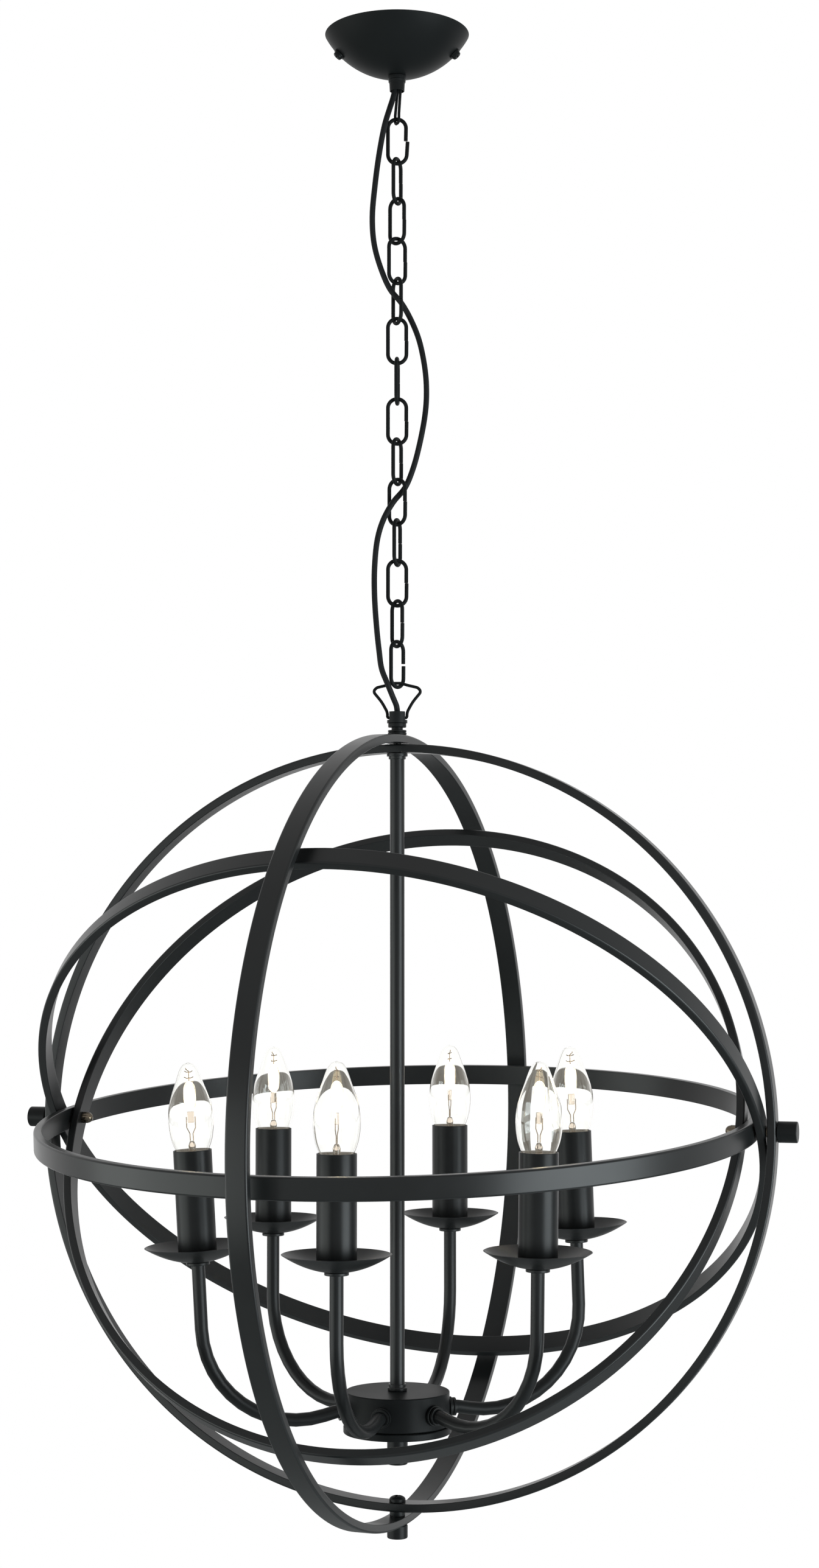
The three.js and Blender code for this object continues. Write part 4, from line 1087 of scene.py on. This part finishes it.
class CHANDELIER_OT_bail(bpy.types.Operator):
    """Model the bail and the collar on top of the orb"""

    bl_idname = "chandelier.add_bail"
    bl_label = "Add bail and top collar"

    def execute(self, context):
        sizes = hanger_sizes()
        turn = turn_z(sizes.chain_turn)
        low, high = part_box("bail")
        wire = sizes.bail_wire / 2
        top = high.z - wire
        foot = top - sizes.bail_rise
        half = sizes.bail_width / 2
        collar = sizes.top_collar / 2
        flat = 0.0062
        side = flat + CLEARANCE + wire
        inside = flat - 0.0018 - CLEARANCE / 2
        outline = [
            (inside, 0, 0.0014), (side, 0, 0.0014), (side, 0.0044, 0.0090),
            (half - 0.0058, 0.0126, 0.0300), (half + 0.0011, 0.0210, 0.0026),
            (half - 0.0020, 0.0240, 0.0040), (0.0082, 0.0258, 0.0120), (0.0031, 0.0274, 0.0060),
        ]
        corners = [(x, 0, foot + z) for x, z, bend in outline]
        corners += [(-x, 0, z) for x, y, z in reversed(corners)]
        bends = [bend for x, z, bend in outline]
        bail = bent("bail_wire", corners, wire, [*bends[1:], *reversed(bends[1:])])
        place(bail, turn)
        fit(bail, BAIL_BODY, "chain", "bail")
        self.collar(sizes, turn, foot, collar, flat)
        return {"FINISHED"}

    def collar(self, sizes, turn, pivot, collar, flat):
        low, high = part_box("top_collar")
        base = low.z
        hole = 0.0033
        washers = turned(
            "top_washers",
            [
                (hole, base), (0.0074, base), (0.0074, base + 0.0015), (0.0066, base + 0.0017),
                (0.0066, base + 0.0019), (0.0073, base + 0.0021), (0.0073, base + 0.0034),
                (0.0045, base + 0.0034), (0.0045, base + 0.0056), (hole, base + 0.0056),
                (hole, base),
            ],
        )
        soften(washers, 0.00015, 2)
        fit(place(washers, turn), ORB_BODY, "fitting")
        lock = turned(
            "top_lock_ring",
            [
                (hole, base + 0.0057), (0.0068, base + 0.0057), (0.00715, base + 0.0061),
                (0.00715, base + 0.0086), (0.0068, base + 0.0090), (hole, base + 0.0090),
                (hole, base + 0.0057),
            ],
        )
        fit(place(lock, turn), ORB_BODY, "fitting")
        start = base + 0.0091
        mouth = 0.0043
        body = turned(
            "top_collar_body",
            [
                (0, start), (collar, start), (collar, high.z), (mouth, high.z),
                (mouth, high.z - 0.0044), (0, high.z - 0.0044),
            ],
        )
        tall = high.z - 0.0066
        for sign in (1, -1):
            xs = sorted((sign * flat, sign * collar * 2))
            combine(body, block("flat", (xs[0], -0.02, tall), (xs[1], 0.02, high.z + 0.01)), "DIFFERENCE")
            inner = flat - 0.0018 - CLEARANCE
            hollow = rod("hole", 0.0015, (sign * inner, 0, pivot), (sign * 0.02, 0, pivot))
            combine(body, hollow, "DIFFERENCE")
        soften(body, 0.0003, 2, math.radians(50))
        fit(place(body, turn), ORB_BODY, "fitting", "top_collar")


class CHANDELIER_OT_stem(bpy.types.Operator):
    """Model the stem, the hub with its cover, and the finial"""

    bl_idname = "chandelier.add_stem"
    bl_label = "Add stem and hub"

    def execute(self, context):
        sizes = candle_sizes()
        orb = orb_sizes()
        thread = orb.rod_diameter / 2
        hole = thread + CLEARANCE
        low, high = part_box("stem")
        hub_low, hub_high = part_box("hub_body")
        frame_inner = orb.diameter / 2 - 2 * orb.band_thickness - orb.outer_gap
        flange = sizes.stem_flange / 2
        flange_top = ORB_CENTRE + frame_inner - CLEARANCE * 1.5
        foot = sizes.stem_foot / 2
        tube = sizes.stem_diameter / 2
        foot_low = hub_high.z + CLEARANCE
        stem = turned(
            "stem_tube",
            [
                (0, low.z), (thread, low.z), (thread, foot_low), (foot, foot_low),
                (foot, foot_low + 0.0022), (foot * 0.9, foot_low + 0.0026),
                (foot * 0.9, foot_low + 0.0050), (tube, foot_low + 0.0050),
                (tube, flange_top - 0.0046), (flange * 0.82, flange_top - 0.0046),
                (flange * 0.82, flange_top - 0.0024), (flange, flange_top - 0.0024),
                (flange, flange_top), (thread, flange_top), (thread, high.z), (0, high.z),
            ],
        )
        soften(stem, 0.0003, 2)
        fit(stem, ORB_BODY, "ring", "stem")
        hub = sizes.hub_diameter / 2
        inner = hub - sizes.hub_wall
        body = turned(
            "hub_body_shell",
            [
                (hole, hub_high.z - sizes.hub_wall), (inner, hub_high.z - sizes.hub_wall),
                (inner, hub_low.z), (hub, hub_low.z), (hub, hub_high.z), (hole, hub_high.z),
                (hole, hub_high.z - sizes.hub_wall),
            ],
            128,
        )
        soften(body, 0.001, 4)
        arm_height = hub_high.z - 0.014
        for index in range(ARM_COUNT):
            out = turn_z(arm_turn(index)) @ Vector((1, 0, 0))
            bore = sizes.arm_tube / 2 + CLEARANCE
            level = Vector((0, 0, arm_height))
            combine(body, rod("hole", bore, level + out * inner / 2, level + out * hub * 1.2), "DIFFERENCE")
        fit(body, ORB_BODY, "rose", "hub_body")
        cover_low, cover_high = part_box("hub_cover")
        cover = sizes.cover_diameter / 2
        rim_top = hub_low.z - CLEARANCE
        step = inner - CLEARANCE
        plate = turned(
            "hub_cover_plate",
            [
                (hole, cover_low.z), (cover, cover_low.z), (cover, rim_top), (step, rim_top),
                (step, cover_high.z), (hole, cover_high.z), (hole, cover_low.z),
            ],
            128,
        )
        soften(plate, 0.001, 4)
        fit(plate, ORB_BODY, "rose", "hub_cover")
        end_low, end_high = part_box("finial")
        nut = sizes.finial_diameter / 2
        finial = turned(
            "finial_nut",
            [
                (0, end_low.z), (nut, end_low.z), (nut, end_high.z), (hole, end_high.z),
                (hole, end_high.z - 0.0123), (0, end_high.z - 0.0123),
            ],
        )
        soften(finial, 0.0009, 4)
        fit(finial, ORB_BODY, "fitting", "finial")
        return {"FINISHED"}


def arm_turn(index):
    return math.radians(30 + 60 * index)


def arm_bending_point():
    """Where an arm leaves its collar, in the plane of the arm"""
    sizes = candle_sizes()
    return Vector((sizes.hub_diameter / 2 + CLEARANCE + 0.0074, 0, top_of("hub_body") - 0.014))


def arm_place(index):
    """Where an arm's candle stands, turned round the hub and leaned out with its arm"""
    point = arm_bending_point()
    lean = turn_y(math.radians(ARM_LEANS[index]))
    return turn_z(arm_turn(index)) @ along(*point) @ lean @ along(*-point)


class CHANDELIER_OT_arms(bpy.types.Operator):
    """Model each arm, bent with its own lean, and copy one collar and one flange round the hub"""

    bl_idname = "chandelier.add_arms"
    bl_label = "Add arms"

    def execute(self, context):
        sizes = candle_sizes()
        start = arm_bending_point()
        height = start.z
        hub = sizes.hub_diameter / 2
        circle = sizes.arm_circle / 2
        tube = sizes.arm_tube / 2
        flange_top = bottom_of("cup_2") - CLEARANCE
        collar = hub + CLEARANCE
        lowest = Vector((circle, 0, height - (circle - start.x) * math.tan(sizes.arm_dip)))
        for index in range(ARM_COUNT):
            turn = turn_z(arm_turn(index))
            lean = turn.inverted() @ arm_place(index)
            arm = bent(
                "arm_%d_tube" % (index + 1),
                [
                    (hub - sizes.hub_wall - 0.007, 0, height),
                    start,
                    lean @ lowest,
                    lean @ Vector((circle, 0, flange_top - 0.0011)),
                ],
                tube,
                [0.012, sizes.arm_bend],
                32,
            )
            fit(place(arm, turn), ORB_BODY, "arm", "arm_%d" % (index + 1))
        bore = tube + 0.0001
        ring = turned(
            "arm collar",
            [
                (bore, collar), (0.0078, collar), (0.0078, collar + 0.0022),
                (0.0060, collar + 0.0022), (0.0060, collar + 0.0032), (0.0070, collar + 0.0032),
                (0.0070, collar + 0.0054), (bore, collar + 0.0054), (bore, collar),
            ],
            SMALL_TURN_STEPS,
        )
        soften(ring, 0.0003, 2)
        place(ring, up(height) @ turn_y(math.pi / 2))
        nipple = 0.004
        flange = turned(
            "arm flange",
            [
                (0, flange_top - 0.0022), (0.009, flange_top - 0.0022), (0.009, flange_top),
                (nipple, flange_top),
                (nipple, bottom_of("cup_2") + 0.0086),
                (0, bottom_of("cup_2") + 0.0086),
            ],
            SMALL_TURN_STEPS,
        )
        soften(flange, 0.0004, 3)
        place(flange, along(circle, 0, 0))
        for index in range(ARM_COUNT):
            name = "arm_%d_" % (index + 1)
            around = turn_z(arm_turn(index))
            for piece, kind, matrix in ((ring, "collar", around), (flange, "flange", arm_place(index))):
                fit(copied(piece, name + kind, matrix), ORB_BODY, "arm")
        for piece in (ring, flange):
            bpy.data.objects.remove(piece)
        return {"FINISHED"}


class CHANDELIER_OT_cups(bpy.types.Operator):
    """Model a drip cup as a shallow turned bowl with a thin rim, and copy it to each arm"""

    bl_idname = "chandelier.add_cups"
    bl_label = "Add drip cups"

    def execute(self, context):
        sizes = candle_sizes()
        low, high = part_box("cup_2")
        rim = sizes.cup_diameter / 2
        hole = 0.0043
        seat = 0.0097
        floor = low.z + 0.0026
        floor_edge = sizes.sleeve_diameter / 2 + 0.0007
        outside = bowl(seat, low.z, rim, low.z + sizes.cup_depth, 14)
        inside = bowl(floor_edge, floor, rim - 0.0007, low.z + sizes.cup_depth + 0.0003, 12)
        profile = [(hole, low.z), *outside, *reversed(inside), (hole, floor), (hole, low.z)]
        cup = turned("cup", profile, 96)
        place(cup, along(sizes.arm_circle / 2, 0, 0))
        for index in range(ARM_COUNT):
            twin = copied(cup, "cup_%d_bowl" % (index + 1), arm_place(index))
            fit(twin, ORB_BODY, "arm", "cup_%d" % (index + 1))
        bpy.data.objects.remove(cup)
        return {"FINISHED"}


def bowl(from_radius, from_height, to_radius, to_height, steps):
    """Points of a shallow bowl's curve, from one radius and height out to another"""
    points = []
    for i in range(steps + 1):
        radius = from_radius + (to_radius - from_radius) * i / steps
        part = (radius**2 - from_radius**2) / (to_radius**2 - from_radius**2)
        points.append((radius, from_height + part * (to_height - from_height)))
    return points


class CHANDELIER_OT_sleeves(bpy.types.Operator):
    """Model a candle sleeve with its lamp holder, and copy it to each arm"""

    bl_idname = "chandelier.add_sleeves"
    bl_label = "Add candle sleeves"

    def execute(self, context):
        sizes = candle_sizes()
        low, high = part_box("sleeve_2")
        outer = sizes.sleeve_diameter / 2
        inner = outer - sizes.sleeve_wall
        holder_top = high.z - 0.025
        profile = [
            (0, holder_top - 0.008), (inner, holder_top - 0.008), (inner, low.z), (outer, low.z),
            (outer, high.z), (inner, high.z), (inner, holder_top), (0, holder_top),
        ]
        sleeve = turned("sleeve", profile, 96)
        soften(sleeve, 0.00035, 3)
        place(sleeve, along(sizes.arm_circle / 2, 0, 0))
        for index in range(ARM_COUNT):
            twin = copied(sleeve, "sleeve_%d_tube" % (index + 1), arm_place(index))
            fit(twin, ORB_BODY, "sleeve", "sleeve_%d" % (index + 1))
        bpy.data.objects.remove(sleeve)
        return {"FINISHED"}


class CHANDELIER_OT_bulbs(bpy.types.Operator):
    """Model a clear candle bulb with its glowing capsule, wires and cap, and copy it to each sleeve"""

    bl_idname = "chandelier.add_bulbs"
    bl_label = "Add candle bulbs"

    def execute(self, context):
        sizes = candle_sizes()
        top = top_of("sleeve_2")
        base = bottom_of("bulb_2")
        half = sizes.bulb_diameter / 2
        height = sizes.bulb_height
        outline = [
            (0.0069, base + 0.0140), (0.0098, base + 0.0182), (half * 0.735, top),
            (half * 0.91, top + height * 0.13), (half * 0.998, top + height * 0.32),
            (half * 0.935, top + height * 0.5), (half * 0.81, top + height * 0.62),
            (half * 0.62, top + height * 0.76), (half * 0.5, top + height * 0.85),
            (half * 0.37, top + height * 0.93), (half * 0.22, top + height * 0.977),
            (0, top + height * 0.995),
        ]
        outside = [(p.x, p.z) for p in smooth_line([Vector((r, 0, z)) for r, z in outline], 5)]
        outside[-1] = (0, outside[-1][1])
        inside = inset_line(outside, sizes.glass_wall)
        envelope = turned("glass", [*reversed(outside), *inside], 64)
        pieces = [(envelope, "glass", "glass", GLASS_SLOT)]
        cap = 0.0069
        ridges = []
        for i in range(5):
            level = base + 0.0035 + i * 0.0019
            ridges += [(cap - 0.0007, level), (cap, level + 0.0009)]
        cap_top = base + 0.0139
        cap_foot = [(0, base), (0.0040, base), (0.0045, base + 0.0022)]
        cap_profile = [*cap_foot, *ridges, (cap - 0.0004, cap_top), (0, cap_top)]
        pieces.append((turned("cap", cap_profile, SMALL_TURN_STEPS), "cap", "zinc", GLASS_SLOT))
        glow_low = top + height * 0.44
        glow_high = top + height * 0.78
        for kind, material, reach, inset in (
            ("capsule", "capsule_glass", 0.0046, 0),
            ("filament", "glow", 0.0029, 0.0020),
        ):
            low, high = glow_low + inset, glow_high - inset
            line = [
                Vector((0, 0, low)),
                Vector((reach * 0.5, 0, low + 0.0006)),
                Vector((reach * 0.86, 0, low + 0.0028)),
                Vector((reach, 0, low + 0.0066)),
                Vector((reach, 0, high - 0.0060)),
                Vector((reach * 0.8, 0, high - 0.0026)),
                Vector((reach * 0.42, 0, high - 0.0006)),
                Vector((0, 0, high)),
            ]
            smooth = [(max(p.x, 0), p.z) for p in smooth_line(line, 3)]
            pieces.append((turned(kind, smooth, SMALL_TURN_STEPS), kind, material, GLASS_SLOT))
        pinch_top = glow_low - 0.0003
        pinch = block("pinch", (-0.0025, -0.0011, pinch_top - 0.0085), (0.0025, 0.0011, pinch_top))
        soften(pinch, 0.0005, 3)
        pieces.append((pinch, "pinch", "stem_glass", GLASS_SLOT))
        stem_profile = [
            (0, base + 0.0143), (0.0058, base + 0.0143), (0.0049, base + 0.0190),
            (0.0033, base + 0.0225), (0.0026, top - 0.0005), (0.0029, top + 0.0035),
            (0.0016, top + 0.0065), (0, top + 0.0070),
        ]
        pieces.append((turned("stem", stem_profile, 32), "stem", "stem_glass", GLASS_SLOT))
        wire = 0.00035
        for side in (1, -1):
            lead = bent(
                "lead",
                [
                    (side * 0.0012, 0, top + 0.0069), (side * 0.0012, 0, top + 0.0125),
                    (side * 0.0034, 0, top + 0.0170), (side * 0.0034, 0, pinch_top - 0.0040),
                ],
                wire,
                0.0012,
                8,
            )
            pieces.append((lead, "lead_%s" % ("a" if side == 1 else "b"), "wire", GLASS_SLOT))
        hook_base = glow_high + 0.0003
        post = bent(
            "post",
            [
                (0, 0, hook_base), (0, 0, hook_base + 0.0075), (0.0020, 0, hook_base + 0.0090),
                (0.0020, 0, hook_base + 0.0100),
            ],
            wire,
            0.0006,
            8,
        )
        pieces.append((post, "post", "wire", GLASS_SLOT))
        for i, level in enumerate((hook_base + 0.0022, hook_base + 0.0068)):
            spread = 0.0034 - 0.0004 * i
            coil = bent(
                "hook",
                [
                    (-spread, -0.0008, level + 0.0007), (-spread * 0.5, 0.0012, level),
                    (0, wire * 2.2, level), (spread * 0.5, 0.0012, level),
                    (spread, -0.0008, level + 0.0007),
                ],
                wire,
                0.0006,
                8,
            )
            pieces.append((coil, "hook_%d" % (i + 1), "wire", GLASS_SLOT))
        out = along(sizes.arm_circle / 2, 0, 0)
        for index in range(ARM_COUNT):
            for piece, kind, material, slot in pieces:
                twin = copied(piece, "bulb_%d_%s" % (index + 1, kind), arm_place(index) @ out)
                nodes = ["bulb_%d" % (index + 1)] if kind == "glass" else []
                fit(twin, ORB_BODY, material, *nodes, slot=slot)
        for piece, kind, material, slot in pieces:
            bpy.data.objects.remove(piece)
        return {"FINISHED"}


def inset_line(points, distance):
    """A profile's points moved inwards by a wall's thickness, the last one kept on the axis"""
    moved = []
    for i, here in enumerate(points):
        before = Vector(points[max(i - 1, 0)])
        after = Vector(points[min(i + 1, len(points) - 1)])
        heading = (after - before).normalized()
        normal = Vector((-heading.y, heading.x)) * distance
        moved.append((max(here[0] + normal.x, 0.0002), here[1] + normal.y))
    moved[-1] = (0, points[-1][1] - distance)
    return moved


class CHANDELIER_OT_stage(bpy.types.Operator):
    """Set up the floor, the surroundings and the softboxes"""

    bl_idname = "chandelier.add_stage"
    bl_label = "Add stage"

    def execute(self, context):
        settings = context.scene.chandelier_studio
        deselect_all()
        bpy.ops.mesh.primitive_circle_add(
            vertices=128,
            radius=settings.floor_radius,
            fill_type="NGON",
            location=(0, 0, -settings.floor_drop),
        )
        floor = named("studio_floor")
        material, nodes, links, shader = new_material("Studio Floor")
        pale = tuple(settings.backdrop)
        tone = mix_colour(nodes, links, noise(nodes, links, 3), pale, tuple(c * 0.98 for c in pale))
        links.new(tone, shader.inputs["Base Color"])
        shader.inputs["Roughness"].default_value = 0.9
        floor.data.materials.append(material)
        self.surroundings(context, settings)
        self.softboxes()
        return {"FINISHED"}

    def surroundings(self, context, settings):
        world = bpy.data.worlds.new("Studio")
        context.scene.world = world
        world.use_nodes = True
        nodes, links = world.node_tree.nodes, world.node_tree.links
        nodes.clear()
        result = nodes.new("ShaderNodeOutputWorld")
        path = nodes.new("ShaderNodeLightPath").outputs
        seen = calculated(nodes, links, "MAXIMUM", path["Is Camera Ray"], path["Is Glossy Ray"])
        seen = calculated(nodes, links, "MAXIMUM", seen, path["Is Transmission Ray"])
        mix = nodes.new("ShaderNodeMixShader")
        links.new(seen, mix.inputs["Fac"])
        for side, strength in ((1, settings.ambient), (2, 1)):
            light = add_node(nodes, "ShaderNodeBackground", Color=WHITE, Strength=strength)
            links.new(light.outputs[0], mix.inputs[side])
        links.new(mix.outputs[0], result.inputs["Surface"])

    def softboxes(self):
        target = Vector((0, 0, ORB_CENTRE))
        for name, spot, size, power, tint in (
            ("Left softbox", (-2.3, -1.6, -1.3), (3.2, 1.8), 60, (0.93, 1.0, 0.97)),
            ("Right softbox", (2.64, -0.92, -1.3), (2.2, 1.8), 108, (0.88, 0.97, 1.0)),
        ):
            aim = (target - Vector(spot)).to_track_quat("-Z", "Y").to_euler()
            deselect_all()
            bpy.ops.object.light_add(type="AREA", location=spot, rotation=aim)
            lamp = bpy.context.object
            lamp.name = name
            lamp.data.shape = "RECTANGLE"
            lamp.data.size, lamp.data.size_y = size
            lamp.data.energy = power
            lamp.data.color = tint


class CHANDELIER_PT_panel(bpy.types.Panel):
    """Buttons that build the chandelier"""

    bl_idname = "CHANDELIER_PT_panel"
    bl_label = "Orb Chandelier"
    bl_space_type = "VIEW_3D"
    bl_region_type = "UI"
    bl_category = "Chandelier"

    def draw(self, context):
        for step in STEPS:
            self.layout.operator(step.bl_idname)


STEPS = (
    CHANDELIER_OT_camera,
    CHANDELIER_OT_materials,
    CHANDELIER_OT_cable,
    CHANDELIER_OT_rings,
    CHANDELIER_OT_pins,
    CHANDELIER_OT_ceiling_rose,
    CHANDELIER_OT_chain,
    CHANDELIER_OT_bail,
    CHANDELIER_OT_stem,
    CHANDELIER_OT_arms,
    CHANDELIER_OT_cups,
    CHANDELIER_OT_sleeves,
    CHANDELIER_OT_bulbs,
    CHANDELIER_OT_stage,
)

GROUPS = {
    "chandelier_orb": OrbSizes,
    "chandelier_hanger": HangerSizes,
    "chandelier_candles": CandleSizes,
    "chandelier_finishes": Finishes,
    "chandelier_studio": StudioSettings,
}


def register():
    for kind in (*GROUPS.values(), *STEPS, CHANDELIER_PT_panel):
        bpy.utils.register_class(kind)
    for name, kind in GROUPS.items():
        setattr(bpy.types.Scene, name, bpy.props.PointerProperty(type=kind))


def unregister():
    for name in GROUPS:
        delattr(bpy.types.Scene, name)
    for kind in (CHANDELIER_PT_panel, *reversed(STEPS), *reversed(GROUPS.values())):
        bpy.utils.unregister_class(kind)


def main():
    register()
    bpy.ops.chandelier.add_camera()
    bpy.ops.chandelier.add_materials()
    bpy.ops.chandelier.add_cable()
    bpy.ops.chandelier.add_rings()
    bpy.ops.chandelier.add_pins()
    bpy.ops.chandelier.add_ceiling_rose()
    bpy.ops.chandelier.add_chain()
    bpy.ops.chandelier.add_bail()
    bpy.ops.chandelier.add_stem()
    bpy.ops.chandelier.add_arms()
    bpy.ops.chandelier.add_cups()
    bpy.ops.chandelier.add_sleeves()
    bpy.ops.chandelier.add_bulbs()
    bpy.ops.chandelier.add_stage()


if __name__ == "__main__":
    main()
